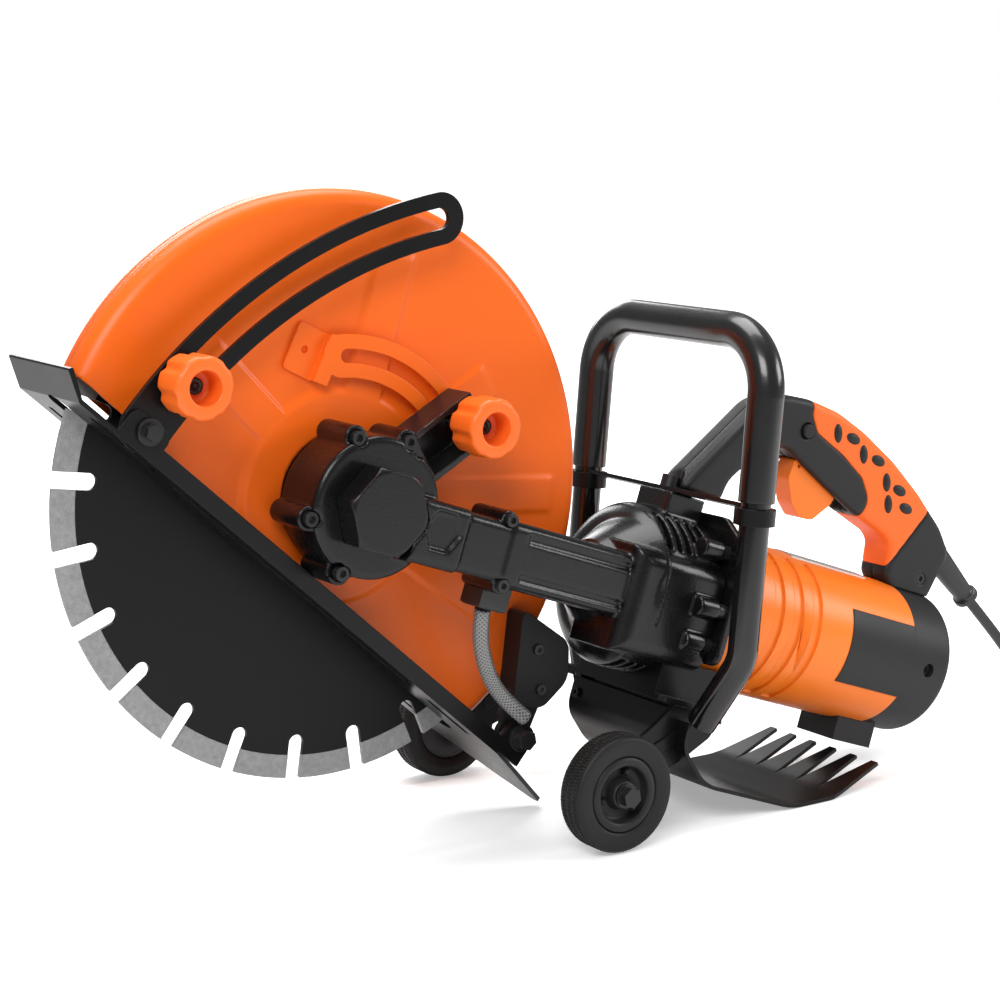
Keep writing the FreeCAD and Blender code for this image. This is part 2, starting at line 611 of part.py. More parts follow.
def build_guard():
    near = guard_half(GUARD_FACE_Y, -0.2, 9.0)
    ring = ring_y(0, 0, 74, SPIGOT_R + 2, GUARD_FACE_Y - 2.5, GUARD_FACE_Y)
    ring = rounded(ring, 1.8, lambda e: on_plane(1, GUARD_FACE_Y - 2.5)(e) and e.BoundBox.XLength > 120)
    ribs = [
        emboss(144.0, 72, 186, 20, 2.2, GUARD_FACE_Y),
        emboss(96.0, 72, 150, 24, 2.2, GUARD_FACE_Y),
        emboss(50.0, 72, 150, 20, 2.2, GUARD_FACE_Y),
        emboss(14.0, 72, 186, 20, 2.2, GUARD_FACE_Y),
        emboss(-18.0, 72, 170, 20, 2.2, GUARD_FACE_Y),
    ]
    inside = guard_outline(-12.0, -4.0)
    inside.translate(V(0, -40, 0))
    raised = fuse_all([ring] + ribs).common(inside.extrude(V(0, 40, 0)))
    near = fuse_all([near, raised])
    near = near.cut(rod_y(0, 0, SPIGOT_R + FIT, -40, -10))
    keep("guard_left_shell", near)
    far = guard_half(GUARD_FAR_Y, 0.2, 9.0)
    far = far.cut(rod_y(0, 0, 64, 5, 20))
    keep("guard_right_shell", far)
    strip = arc_band((0, 0), 98.0, 15.0, 47.0, 108.0, -28.5, -26.0)
    strip = strip.cut(arc_band((0, 0), 98.0, 4.8, 48.0, 106.0, -30, -25))
    tab_flat = plate_y([(-70, 74), (-44, 70), (-40, 104), (-66, 108)], -22.5, GUARD_FACE_Y, 3.0)
    tab_flat = tab_flat.cut(rod_y(-57, 90, 2.6, -24, -18))
    joggle = plate_y([(-47, 71), (-36, 70), (-30, 108), (-43, 105)], -28.5, GUARD_FACE_Y, 0.0)
    joggle = joggle.cut(plate_y([(-44.5, 60), (-20, 60), (-20, 120), (-40.5, 120)], -26.0, -10, 0.0))
    strip = fuse_all([strip, tab_flat, joggle])
    far_foot = turned_y(box(86, 110, -28.5, GUARD_FACE_Y, -3, 3), -41.0)
    strip = fuse_all([strip, far_foot])
    ribs_cut = near.common(box(-300, 300, -40, GUARD_FACE_Y, -300, 300))
    keep("guard_arc_bracket", strip.cut(ribs_cut))
    # black housing at the rear lower corner of the guard
    outline = [(166, -42), (214, -57), (223, -84), (206, -110), (180, -110)]
    shroud = plate_y(outline, -40, GUARD_FACE_Y, [4, 14, 18, 14, 4])
    room = [(171, -47), (210, -60), (218, -84), (204, -104.5), (184, -104.5)]
    shroud = shroud.cut(plate_y(room, -37.5, -10, 8.0))
    lug = plate_y([(177, -100), (207, -100), (203, -128), (177, -128)], -36, -31, 3.0)
    lug = lug.fuse(rod_y(PIVOT[0], PIVOT[1], 14, -36, -31))
    lug = lug.fuse(box(183, 204, -31, GUARD_FACE_Y, -122, -106))
    bore = rod_y(PIVOT[0], PIVOT[1], 6 + FIT, -60, -10)
    shroud = fuse_all([shroud, lug]).cut(bore)
    shroud = shroud.cut(NODES["guard_left_shell"])
    keep("rear_shroud", biggest(shroud))
    screws = []
    for x, z in ((188, -68), (200, -96)):
        screws.append(rod_y(x, z, 4, -42.5, -40).cut(hexagon(x, z, 3.5, -43, -41)))
    keep("shroud_screws", Part.makeCompound(screws))


def biggest(shape):
    solids = sorted(shape.Solids, key=lambda s: s.Volume)
    return solids[-1]


# ---------------------------------------------------------------- base plate and depth bar

def build_base_plate():
    left = PLATE_LEFT
    right = PLATE_RIGHT
    outline = [(-204, left), (217, left), (306, -3), (306, 5), (217, right), (-204, right)]
    sheet = plate_z(outline, PLATE_TOP - PLATE_T, PLATE_TOP, [0, 6, 4, 4, 6, 0])
    lip = plate_y([(-204, PLATE_TOP - PLATE_T), (-204, PLATE_TOP), (-222, PLATE_TOP + 12),
                   (-224, PLATE_TOP + 9)], left, right, [0, 0, 1.2, 1.2])
    flange = box(-162, 217, left, left + PLATE_T, PLATE_TOP - PLATE_T, PLATE_TOP + 9)
    tab_points = [(-172, PLATE_TOP), (-138, PLATE_TOP), (-138, PLATE_TOP + 20), (-172, PLATE_TOP + 20)]
    tab = plate_y(tab_points, left, left + PLATE_T, [0, 0, 8, 8])
    pivot_s, pivot_n = to_plate(*PIVOT)
    lug_points = [(pivot_s - 16, PLATE_TOP - 1), (pivot_s + 12, PLATE_TOP - 1),
                  (pivot_s + 12, pivot_n + 11), (pivot_s - 12, pivot_n + 11)]
    lug = plate_y(lug_points, left, left + 4, [0, 0, 9, 9])
    plate = fuse_all([sheet, lip, flange, tab, lug])
    slot = box(-196, 192, -9, 9, PLATE_TOP - 10, PLATE_TOP + 5)
    slot = slot.fuse(rod_z(-196, 0, 9, PLATE_TOP - 10, PLATE_TOP + 5))
    slot = slot.fuse(rod_z(192, 0, 9, PLATE_TOP - 10, PLATE_TOP + 5))
    plate = plate.cut(slot)
    for s0, s1 in ((-186, -128), (150, 196)):
        plate = plate.cut(box(s0, s1, -34, -28, PLATE_TOP - 10, PLATE_TOP + 5))
        plate = plate.cut(box(s0, s1, 30, 36, PLATE_TOP - 10, PLATE_TOP + 5))
    groove = box(-110, 130, -33, -29, PLATE_TOP - PLATE_T - 1, PLATE_TOP - PLATE_T + 1.2)
    plate = plate.cut(groove)
    plate = plate.cut(rod_y(pivot_s, pivot_n, 6, -60, -30))
    keep("base_plate", turned_y(plate, PLATE_TILT))
    bolt_s = -154.0
    bolt_n = PLATE_TOP + 12.0
    bolt = rod_y(bolt_s, bolt_n, 9, -47.5, -45).fuse(hexagon(bolt_s, bolt_n, 10, -53, -47.5))
    bar_bolt = turned_y(bolt, PLATE_TILT)
    pivot = rod_y(PIVOT[0], PIVOT[1], 6, -45, -31)
    head = rod_y(PIVOT[0], PIVOT[1], 10, -48, -45)
    head = head.fuse(hexagon(PIVOT[0], PIVOT[1], 13, -56, -48))
    keep("plate_bolts", Part.makeCompound([bar_bolt, pivot.fuse(head)]))


def to_plate(x, z):
    """Saw X and Z in the flat coordinates of the base plate."""
    a = math.radians(PLATE_TILT)
    return (x * math.cos(a) - z * math.sin(a), x * math.sin(a) + z * math.cos(a))


def build_depth_bar():
    y0 = -42.0
    y1 = -38.0
    bar = arc_band(PIVOT, BAR_R, 18.0, 118.5, 158.0, y0, y1)
    bar = bar.cut(arc_band(PIVOT, BAR_R, 7.4, 118.7, 153.4, y0 - 1, y1 + 1))
    keep("depth_bar", bar.cut(NODES["base_plate"]))


# ---------------------------------------------------------------- knobs

def knob(x, z, y_back, y_face, radius):
    body = rod_y(x, z, radius, y_face, y_back)
    body = rounded(body, 3.5, on_plane(1, y_face))
    body = body.cut(rod_y(x, z, radius * 0.56, y_face - 1, y_face + 19))
    flutes = []
    for i in range(7):
        a = math.radians(360.0 * i / 7 + 12)
        fx = x + (radius + 5) * math.cos(a)
        fz = z + (radius + 5) * math.sin(a)
        flutes.append(rod_y(fx, fz, 7.5, y_face + 5, y_back + 1))
    return body.cut(Part.makeCompound(flutes))


def build_knobs():
    x = PIVOT[0] + BAR_R * math.cos(DEPTH_CLAMP_ANGLE)
    z = PIVOT[1] + BAR_R * math.sin(DEPTH_CLAMP_ANGLE)
    keep("depth_knob", knob(x, z, -46, -76, 21))
    keep("depth_stud", rod_y(x, z, 5, -46, -21).fuse(rod_y(x, z, 9, -46, -43)))
    x = GUARD_LOCK_R * math.cos(GUARD_LOCK_ANGLE)
    z = GUARD_LOCK_R * math.sin(GUARD_LOCK_ANGLE)
    keep("guard_lock_knob", knob(x, z, -62, -92, 21))
    keep("guard_lock_stud", rod_y(x, z, 4, -62, -23.2).fuse(rod_y(x, z, 9, -62, -59)))
    block = box(38, 109, -58, -30, -19, 19)
    block = block.cut(box(56, 105, -60, -34, -15, 15))
    block = turned_y(block, -math.degrees(GUARD_LOCK_ANGLE))
    block = block.cut(rod_y(0, 0, HUB_R, -80, -20)).cut(rod_y(x, z, 4.5, -80, -20))
    boss_angle = math.radians(HUB_SCREWS[1])
    boss_x = 50 * math.cos(boss_angle)
    boss_z = 50 * math.sin(boss_angle)
    block = block.cut(rod_y(boss_x, boss_z, 8.5 + FIT, -80, -20))
    keep("clamp_bracket", biggest(block))


def joint_points():
    """Where each motion's axis passes, in the saw's own frame."""
    clamp_x = PIVOT[0] + BAR_R * math.cos(DEPTH_CLAMP_ANGLE)
    clamp_z = PIVOT[1] + BAR_R * math.sin(DEPTH_CLAMP_ANGLE)
    lock_x = GUARD_LOCK_R * math.cos(GUARD_LOCK_ANGLE)
    lock_z = GUARD_LOCK_R * math.sin(GUARD_LOCK_ANGLE)
    return {
        "blade_spin": (0, 0, 0),
        "arm_shaft_spin": (100, ARM_Y, AXIS_Z),
        "motor_spin": (400, MOTOR_Y, AXIS_Z),
        "guard_swing": (0, -20, 0),
        "plate_swing": (PIVOT[0], -38, PIVOT[1]),
        "depth_knob_turn": (clamp_x, -60, clamp_z),
        "guard_lock_turn": (lock_x, -76, lock_z),
        "left_wheel_spin": (WHEEL_X, WHEEL_LEFT_Y + WHEEL_W / 2, WHEEL_Z),
        "right_wheel_spin": (WHEEL_X, WHEEL_RIGHT_Y + WHEEL_W / 2, WHEEL_Z),
        "trigger_pull": (TRIGGER_X, MOTOR_Y, TRIGGER_Z),
        "lock_button_press": (367, MOTOR_Y - 14, 145),
    }


# ---------------------------------------------------------------- bail handle

def bail_points():
    return [
        V(294, -114, -88),
        V(288, BAIL_LEFT_Y, -36),
        V(BAIL_TOP_X, BAIL_LEFT_Y, BAIL_TOP_Z),
        V(BAIL_TOP_X, BAIL_RIGHT_Y, BAIL_TOP_Z),
        V(288, BAIL_RIGHT_Y, -36),
        V(294, 24, -88),
    ]


def build_bail():
    points = bail_points()
    bends = [34.0, 44.0, 44.0, 34.0]
    bar = tube(points, bends, BAIL_R)
    keep("bail_tube", bar)
    low = 76.0
    share = (BAIL_TOP_Z - low) / (BAIL_TOP_Z + 36.0)
    near = V(BAIL_TOP_X + (288.0 - BAIL_TOP_X) * share, BAIL_LEFT_Y, low)
    far = V(near.x, BAIL_RIGHT_Y, low)
    sleeve_path = [near, points[2], points[3], far]
    outer = tube(sleeve_path, [44.0, 44.0], SLEEVE_R)
    keep("bail_grip", outer.cut(bar))
    strap = box(254, 272, BAIL_LEFT_Y + 2, BAIL_RIGHT_Y - 2, 70, 73)
    clamps = []
    for y in (BAIL_LEFT_Y, BAIL_RIGHT_Y):
        ring = rod_z(0, 0, 15, -6, 6)
        ring = turned_y(ring, -13.6)
        ring.translate(V(262.9, y, 66))
        clamps.append(ring)
    strap = fuse_all([strap] + clamps).cut(bar)
    strap = strap.cut(NODES["bail_grip"])
    keep("cross_strap", biggest(strap))
    bolt = rod_z(262, MOTOR_Y, 7, 73, 82).cut(rod_z(262, MOTOR_Y, 3.6, 77, 83))
    add_to("case_screws", [bolt])
    return bar


# ---------------------------------------------------------------- carrier, wheels and skid

def bracket_plate(y0, y1):
    outline = [(WHEEL_X - 13, WHEEL_Z + 4), (262, -98), (276, -80), (318, -80), (318, -96),
               (296, -118), (WHEEL_X + 9, WHEEL_Z - 12)]
    plate = plate_y(outline, y0, y1, [10, 16, 3, 3, 14, 20, 10])
    rib = plate_y([(250, -124), (290, -92), (296, -98), (256, -131)], y0 - 1.4, y0, 2.5)
    return plate.fuse(rib).cut(rod_y(WHEEL_X, WHEEL_Z, AXLE_R, y0 - 5, y1 + 5))


def wheel_parts(y0, face):
    """Tyre and hub between y0 and y0 + WHEEL_W; face is -1 when the outer side is at y0."""
    y1 = y0 + WHEEL_W
    tyre = ring_y(WHEEL_X, WHEEL_Z, WHEEL_R, 27, y0, y1)
    tyre = rounded(tyre, 3.0, lambda e: e.BoundBox.XLength > 80 and e.BoundBox.YLength < 0.1)
    hub = ring_y(WHEEL_X, WHEEL_Z, 27, AXLE_R + FIT, y0 + 0.5, y1 - 0.5)
    if face < 0:
        dish = ring_y(WHEEL_X, WHEEL_Z, 20, 10, y0 - 1, y0 + 9)
    else:
        dish = ring_y(WHEEL_X, WHEEL_Z, 20, 10, y1 - 9, y1 + 1)
    hub = hub.cut(dish)
    for angle in (90.0, 210.0, 330.0):
        a = math.radians(angle)
        x = WHEEL_X + 18.5 * math.cos(a)
        z = WHEEL_Z + 18.5 * math.sin(a)
        if face < 0:
            hub = hub.fuse(rod_y(x, z, 2.0, y0 + 1, y0 + 9))
        else:
            hub = hub.fuse(rod_y(x, z, 2.0, y1 - 9, y1 - 1))
    return tyre, hub


def build_wheels(bar):
    near_inner = WHEEL_LEFT_Y + WHEEL_W
    left_bracket = bracket_plate(near_inner + 2, near_inner + 6)
    left_bracket = left_bracket.cut(bar)
    keep("left_wheel_bracket", biggest(left_bracket))
    tyre, hub = wheel_parts(WHEEL_LEFT_Y, -1)
    keep("left_wheel", fuse_all([tyre, hub]))
    head = hexagon(WHEEL_X, WHEEL_Z, 13, WHEEL_LEFT_Y - 8, WHEEL_LEFT_Y - 1.5)
    washer = rod_y(WHEEL_X, WHEEL_Z, 9, WHEEL_LEFT_Y - 1.5, WHEEL_LEFT_Y)
    shank = rod_y(WHEEL_X, WHEEL_Z, AXLE_R, WHEEL_LEFT_Y, near_inner + 6)
    bolts = [fuse_all([head, washer, shank])]
    far_outer = WHEEL_RIGHT_Y + WHEEL_W
    right_bracket = bracket_plate(WHEEL_RIGHT_Y - 6, WHEEL_RIGHT_Y - 2)
    arm = box(282, 316, 30, WHEEL_RIGHT_Y - 2, -84, -79.8)
    right_bracket = fuse_all([right_bracket, arm]).cut(bar)
    keep("right_wheel_bracket", biggest(right_bracket))
    tyre, hub = wheel_parts(WHEEL_RIGHT_Y, 1)
    keep("right_wheel", fuse_all([tyre, hub]))
    head = hexagon(WHEEL_X, WHEEL_Z, 13, far_outer + 1.5, far_outer + 8)
    washer = rod_y(WHEEL_X, WHEEL_Z, 9, far_outer, far_outer + 1.5)
    shank = rod_y(WHEEL_X, WHEEL_Z, AXLE_R, WHEEL_RIGHT_Y - 6, far_outer)
    bolts.append(fuse_all([head, washer, shank]))
    keep("axle_bolts", Part.makeCompound(bolts))


def build_skid(bar):
    left = -100.0
    right = 30.0
    carrier = plate_z([(262, left), (330, left), (330, right), (262, right)], -79.8, -75.8, 6.0)
    post = box(262, 328, -92, 2, -76, -50)
    post = post.cut(rod_x(MOTOR_Y, AXIS_Z, CASE_R, 250, 288)).cut(box(287.7, 294.3, -130, 40, -52, 0))
    post = post.cut(rod_x(MOTOR_Y, AXIS_Z, MOTOR_R + 0.3, 288, 340)).cut(bar)
    carrier = fuse_all([carrier, post]).cut(bar)
    carrier = carrier.cut(NODES["arm_casting"])
    keep("carrier_plate", biggest(carrier))
    low = floor_level(404)
    high = floor_level(446)
    outer = [(282, -83.8), (282, -110), (312, -133.5), (404, low), (446, high), (490, -89)]
    inner = [(488, -86.6), (444.5, high + 2.6), (403.5, low + 2.9)]
    inner = inner + [(313, -130.5), (285, -108.7), (285, -86.8)]
    flange_out = [(326, -86.8), (326, -83.8)]
    points = outer + inner + flange_out
    radii = [0, 22, 36, 60, 60, 0.6, 0.6, 57, 57, 33, 19, 0, 0, 0]
    sheet = plate_y(points, left - 15, right - 2, radii)
    cutters = []
    pitch = (right - 2 - (left - 15)) / 6.0
    for i in range(7):
        y = left - 15 + pitch * i
        tri = plate_z([(500, y - pitch / 2 + 1.2), (500, y + pitch / 2 - 1.2), (444, y)], -150, -60, 0.0)
        cutters.append(tri)
    sheet = sheet.cut(Part.makeCompound(cutters))
    sheet = sheet.cut(box(278, 330, -116, -99.5, -90, -80))
    sheet = sheet.cut(NODES["left_wheel_bracket"]).cut(bar)
    keep("toothed_skid", biggest(sheet))
    screws = []
    for y in (-86, 20):
        screws.append(rod_x(y, -96, 4, 279.5, 282).cut(rod_x(y, -96, 1.8, 279, 281)))
    add_to("case_screws", screws)
    foot_gap = box(290, 326, -98, 28, -83.8, -79.8)
    foot_gap = foot_gap.cut(NODES["right_wheel_bracket"]).cut(NODES["left_wheel_bracket"]).cut(bar)
    keep("carrier_plate", biggest(NODES["carrier_plate"].fuse(biggest(foot_gap)).removeSplitter()))


# ---------------------------------------------------------------- rear handle

HANDLE_HALF = 16.0
HANDLE = [(262, 74), (270, 88), (317, 154), (336, 166), (364, 169), (396, 167), (428, 159),
          (466, 145), (502, 127), (536, 106), (554, 88), (547, 66), (541, 44), (500, 44),
          (488, 56), (484, 80), (476, 86), (436, 96), (402, 108), (376, 118), (352, 128),
          (330, 120), (306, 90), (303, 74)]
HANDLE_RADII = [3, 20, 30, 30, 60, 60, 60, 60, 60, 40, 14, 30, 0, 0, 6, 10, 20, 60, 60, 60,
                16, 16, 20, 3]


def handle_solid(inset):
    edges = rounded_edges(HANDLE, HANDLE_RADII, lambda u, v: V(u, MOTOR_Y - HANDLE_HALF + inset, v))
    face = Part.Face(Part.Wire(Part.__sortEdges__(edges)))
    return face.extrude(V(0, 2 * (HANDLE_HALF - inset), 0))


def build_handle():
    whole = handle_solid(0.0)
    side = on_plane(1, MOTOR_Y - HANDLE_HALF)
    other = on_plane(1, MOTOR_Y + HANDLE_HALF)
    whole = rounded(whole, 5.5, lambda e: side(e) or other(e))
    whole = whole.cut(rod_x(MOTOR_Y, AXIS_Z, MOTOR_R, 450, MOTOR_SEAM_X))
    whole = whole.cut(rod_x(MOTOR_Y, AXIS_Z, MOTOR_R - 0.5, MOTOR_SEAM_X, 560))
    zone = plate_y([(366, 190), (368, 158), (378, 146), (410, 136), (436, 124), (450, 108), (440, 86),
                    (486, 60), (520, 122), (540, 150)], -80, 0, [0, 10, 10, 30, 14, 12, 4, 4, 10, 0])
    core = box(300, 560, MOTOR_Y - HANDLE_HALF + 2.5, MOTOR_Y + HANDLE_HALF - 2.5, 40, 180)
    lowered = whole.copy()
    lowered.translate(V(-1.3, 0, -2.2))
    core = core.common(lowered)
    raised = whole.copy()
    raised.translate(V(1.0, 0, 2.2))
    core = core.common(raised)
    skin = whole.common(zone).cut(core)
    shell = whole.cut(skin)
    pocket = plate_y([(366, 92), (366, 132), (372, 136), (436, 112), (438, 80)], MOTOR_Y - 9.5,
                     MOTOR_Y + 9.5, 2.0)
    switch_room = plate_y([(384, 126), (390, 146), (432, 130), (426, 110)], MOTOR_Y - 9.5,
                          MOTOR_Y + 9.5, 1.0)
    shell = shell.cut(pocket).cut(switch_room)
    keep("grip_overmold", biggest(skin.cut(pocket).cut(switch_room)))
    shell = shell.cut(rod_y(367, 145, 6.0, MOTOR_Y - 20, MOTOR_Y - 4))
    screws_at = ((528, 62), (312, 108))
    for x, z in screws_at:
        shell = shell.cut(rod_y(x, z, 4.5, MOTOR_Y - 20, MOTOR_Y - 12))
    shell = shell.cut(rod_z(262, MOTOR_Y, 9, 70, 90))
    left = shell.common(box(200, 600, -80, MOTOR_Y, 0, 200))
    right = shell.common(box(200, 600, MOTOR_Y, 0, 0, 200))
    keep("handle_left_half", biggest(left))
    keep("handle_right_half", biggest(right))
    screws = []
    for x, z in screws_at:
        screw = rod_y(x, z, 4.5, MOTOR_Y - 15, MOTOR_Y - 12)
        screws.append(screw.cut(hexagon(x, z, 4, MOTOR_Y - 16, MOTOR_Y - 13.5)))
    add_to("case_screws", screws)
    module = plate_y([(392, 130), (396, 142), (428, 129), (424, 117)], MOTOR_Y - 9.5, MOTOR_Y + 9.5, 1.0)
    keep("switch_module", module)
    trigger = plate_y([(369, 123), (367, 107), (377, 89), (389, 80), (402, 81), (417, 97),
                       (419, 103), (402, 110), (380, 124)], MOTOR_Y - 8.5, MOTOR_Y + 8.5,
                      [3, 8, 10, 6, 8, 3, 1, 3, 3])
    trigger = trigger.cut(rod_y(TRIGGER_X, TRIGGER_Z, 1.6, -60, -30))
    keep("trigger", trigger)
    button = rod_y(367, 145, 5.6, MOTOR_Y - 18.5, MOTOR_Y - 8)
    button = rounded(button, 1.5, on_plane(1, MOTOR_Y - 18.5))
    keep("lock_button", button)


# ---------------------------------------------------------------- hose, strain relief, cord

HOSE = [V(112, -66, -48), V(117, -62, -66), V(136, -58, -92), V(158, -56, -108), V(180, -58, -117)]


def build_hose():
    block = box(98, 122, -80, -56, -47.7, AXIS_Z - 23.5)
    block = rounded(block, 2.5, on_plane(2, -47.7)).cut(NODES["arm_casting"])
    keep("water_fitting", block)
    hose = tube(HOSE, [22.0, 40.0, 40.0], 6.0)
    keep("water_hose", hose.cut(block))


def cone_along(start, direction, length, r0, r1):
    return Part.makeCone(r0, r1, length, start, direction)


RELIEF_START = V(547, MOTOR_Y, 87)
RELIEF_DIR = V(0.888, 0, -0.459).normalize()
RELIEF_LENGTH = 62.0
CORD_R = 4.5
# Free stretch of the power cord after the strain relief, on the floor frame before the
# sideways shifts, chosen by hand; the last point is where the coil begins
CORD_AHEAD = [
    (618.0, -45.0, 90.0),
    (644.0, -45.5, 61.0),
    (672.0, -46.5, 37.0),
    (702.0, -47.2, 18.5),
    (735.0, -47.6, 8.0),
    (765.0, -47.5, 4.7),
]
COIL_CENTRE = (765.0, -104.0)
COIL_INNER = 43.0
COIL_OUTER = 61.0
COIL_HEIGHT = 36.2


def build_relief():
    boot = cone_along(RELIEF_START - RELIEF_DIR * 6, RELIEF_DIR, RELIEF_LENGTH + 6, 9.0, 7.0)
    lip = Part.makeCylinder(9.5, 4, RELIEF_START + RELIEF_DIR * (RELIEF_LENGTH - 4), RELIEF_DIR)
    collar = Part.makeCylinder(12, 12, RELIEF_START - RELIEF_DIR * 6, RELIEF_DIR)
    relief = fuse_all([boot, lip, collar])
    relief = relief.cut(NODES["handle_left_half"]).cut(NODES["handle_right_half"])
    relief = biggest(relief)
    keep("strain_relief", relief)


def tangent_radii(points):
    """Arc radii of 0.45 of the shorter run at each corner over tan(half the turn)."""
    radii = []
    for i in range(1, len(points) - 1):
        back = points[i - 1] - points[i]
        ahead = points[i + 1] - points[i]
        half_turn = (math.pi - back.getAngle(ahead)) / 2.0
        radii.append(0.45 * min(back.Length, ahead.Length) / math.tan(half_turn))
    return radii


def build_cord():
    """The cord, its coil and the plug, already in the floor frame."""
    end = RELIEF_START + RELIEF_DIR * RELIEF_LENGTH
    points = [place_point(end.x, end.y, end.z)]
    for x, y, z in CORD_AHEAD:
        points.append(V(x + SHIFT_X, y + SHIFT_Y, z))
    radii = tangent_radii(points)
    print("cord start", points[0])
    print("cord radii", [round(r, 1) for r in radii])
    cord = tube(points, radii, CORD_R)
    print("cord length", round(cord.Volume / (math.pi * CORD_R ** 2), 1))
    cx = COIL_CENTRE[0] + SHIFT_X
    cy = COIL_CENTRE[1] + SHIFT_Y
    coil = rod_z(cx, cy, COIL_OUTER, 0.1, COIL_HEIGHT)
    coil = rounded(coil, 4.0, lambda e: e.BoundBox.ZLength < 0.1)
    coil = coil.cut(rod_z(cx, cy, COIL_INNER, -1, COIL_HEIGHT + 1))
    coil = coil.cut(cord)
    z = COIL_HEIGHT
    x = cx + 52.0
    plug = box(x - 15, x + 15, cy - 26, cy + 14, z, z + 22)
    plug = rounded(plug, 4.0, lambda e: e.BoundBox.ZMax > z + 1)
    neck = rod_y(x, z + 11, 8, cy + 14, cy + 30)
    pins = [rod_y(x + side * 9.5, z + 11, 2.4, cy - 45, cy - 26) for side in (-1, 1)]
    plug = fuse_all([plug, neck] + pins)
    return {"power_cord": cord, "cord_coil": coil, "mains_plug": plug}


def main():
    build_blade()
    build_spindle()
    build_drive()
    build_hub()
    build_arm()
    build_flange()
    build_motor()
    build_guard()
    build_base_plate()
    build_depth_bar()
    build_knobs()
    bar = build_bail()
    build_wheels(bar)
    build_skid(bar)
    build_handle()
    build_hose()
    build_relief()
    for name, shapes in GROUPS.items():
        keep(name, Part.makeCompound(shapes))
    os.makedirs("parts", exist_ok=True)
    for name, shape in NODES.items():
        placed = place(shape)
        if not placed.isValid():
            print("INVALID", name)
        placed.exportStep("parts/" + name + ".step")
    for name, shape in build_cord().items():
        shape.exportStep("parts/" + name + ".step")
    boxes = [place(shape).BoundBox for shape in NODES.values()]
    print("x", min(b.XMin for b in boxes), max(b.XMax for b in boxes))
    print("y", min(b.YMin for b in boxes), max(b.YMax for b in boxes))
    print("z", min(b.ZMin for b in boxes), max(b.ZMax for b in boxes))
    for name, point in joint_points().items():
        print(name, [round(value / 1000.0, 5) for value in place_point(*point)])


main()
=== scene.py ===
import logging
import math
from dataclasses import dataclass, field
from enum import Enum
from typing import Callable, Optional, Sequence

import bmesh
import bpy
from mathutils import Matrix, Vector


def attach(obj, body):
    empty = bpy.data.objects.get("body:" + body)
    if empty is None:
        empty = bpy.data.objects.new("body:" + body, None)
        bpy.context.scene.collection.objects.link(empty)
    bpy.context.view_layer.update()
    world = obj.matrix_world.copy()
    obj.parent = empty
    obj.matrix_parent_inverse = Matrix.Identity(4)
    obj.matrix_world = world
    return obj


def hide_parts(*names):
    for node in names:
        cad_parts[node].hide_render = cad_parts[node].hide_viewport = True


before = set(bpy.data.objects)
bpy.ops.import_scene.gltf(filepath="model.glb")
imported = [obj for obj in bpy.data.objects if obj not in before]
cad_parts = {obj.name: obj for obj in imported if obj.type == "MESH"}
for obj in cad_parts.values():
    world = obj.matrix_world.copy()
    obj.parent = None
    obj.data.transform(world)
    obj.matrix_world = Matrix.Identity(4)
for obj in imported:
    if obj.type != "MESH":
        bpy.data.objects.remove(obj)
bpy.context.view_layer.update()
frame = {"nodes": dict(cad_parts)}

LOG = logging.getLogger("saw")
MM = 0.001
Point = Sequence[float]
NodeMap = dict[str, bpy.types.Object]


class Body(Enum):
    """CAD bodies that pieces ride on."""

    SAW = "saw"
    GUARD = "guard"
    DEPTH_CLAMP = "depth_clamp"
    GUARD_CLAMP = "guard_clamp"
    WHEEL_LEFT = "wheel_left"
    WHEEL_RIGHT = "wheel_right"


@dataclass(frozen=True)
class SawFrame:
    """The saw's own axes, tilted nose-up on the floor, in millimetres."""

    pitch: float = 18.9
    shift: tuple[float, float, float] = (-194.7, 14.5, 258.94)

    def point(self, x: float, y: float, z: float) -> Vector:
        """A saw point in the row frame.

        Args:
            x: Millimetres towards the rear grip.
            y: Millimetres away from the motor side.
            z: Millimetres up from the spindle.

        Returns:
            The same place in metres on the floor's axes.
        """
        a = math.radians(self.pitch)
        c, s = math.cos(a), math.sin(a)
        dx, dy, dz = self.shift
        return Vector((x * c + z * s + dx, y + dy, -x * s + z * c + dz)) * MM

    def turn(self) -> Matrix:
        """The rotation from the saw's axes to the floor's."""
        return Matrix.Rotation(math.radians(self.pitch), 3, "Y")


SAW = SawFrame()


# ---------------------------------------------------------------- node and object helpers

def add_node(nodes: bpy.types.Nodes, kind: str, inputs: Optional[dict] = None,
             **settings: object) -> bpy.types.Node:
    """Adds a node, sets it up and wires it.

    Args:
        nodes: The tree's nodes.
        kind: The node's type.
        inputs: For each input, the socket that feeds it or its plain value.
        settings: Values of the node's own properties.

    Returns:
        The new node.
    """
    node = nodes.new(kind)
    for label, value in settings.items():
        setattr(node, label, value)
    for label, value in (inputs or {}).items():
        if isinstance(value, bpy.types.NodeSocket):
            node.id_data.links.new(value, node.inputs[label])
        else:
            node.inputs[label].default_value = value
    return node


def put_in_scene(name: str, data: Optional[bpy.types.ID]) -> bpy.types.Object:
    """Makes an object of some data and links it to the scene."""
    made = bpy.data.objects.new(name, data)
    bpy.context.scene.collection.objects.link(made)
    return made


def plain_mesh(source: bpy.types.Object) -> bpy.types.Mesh:
    """An object's mesh with its modifiers or curve already worked out."""
    graph = bpy.context.evaluated_depsgraph_get()
    return bpy.data.meshes.new_from_object(source.evaluated_get(graph))


# ---------------------------------------------------------------- shader groups

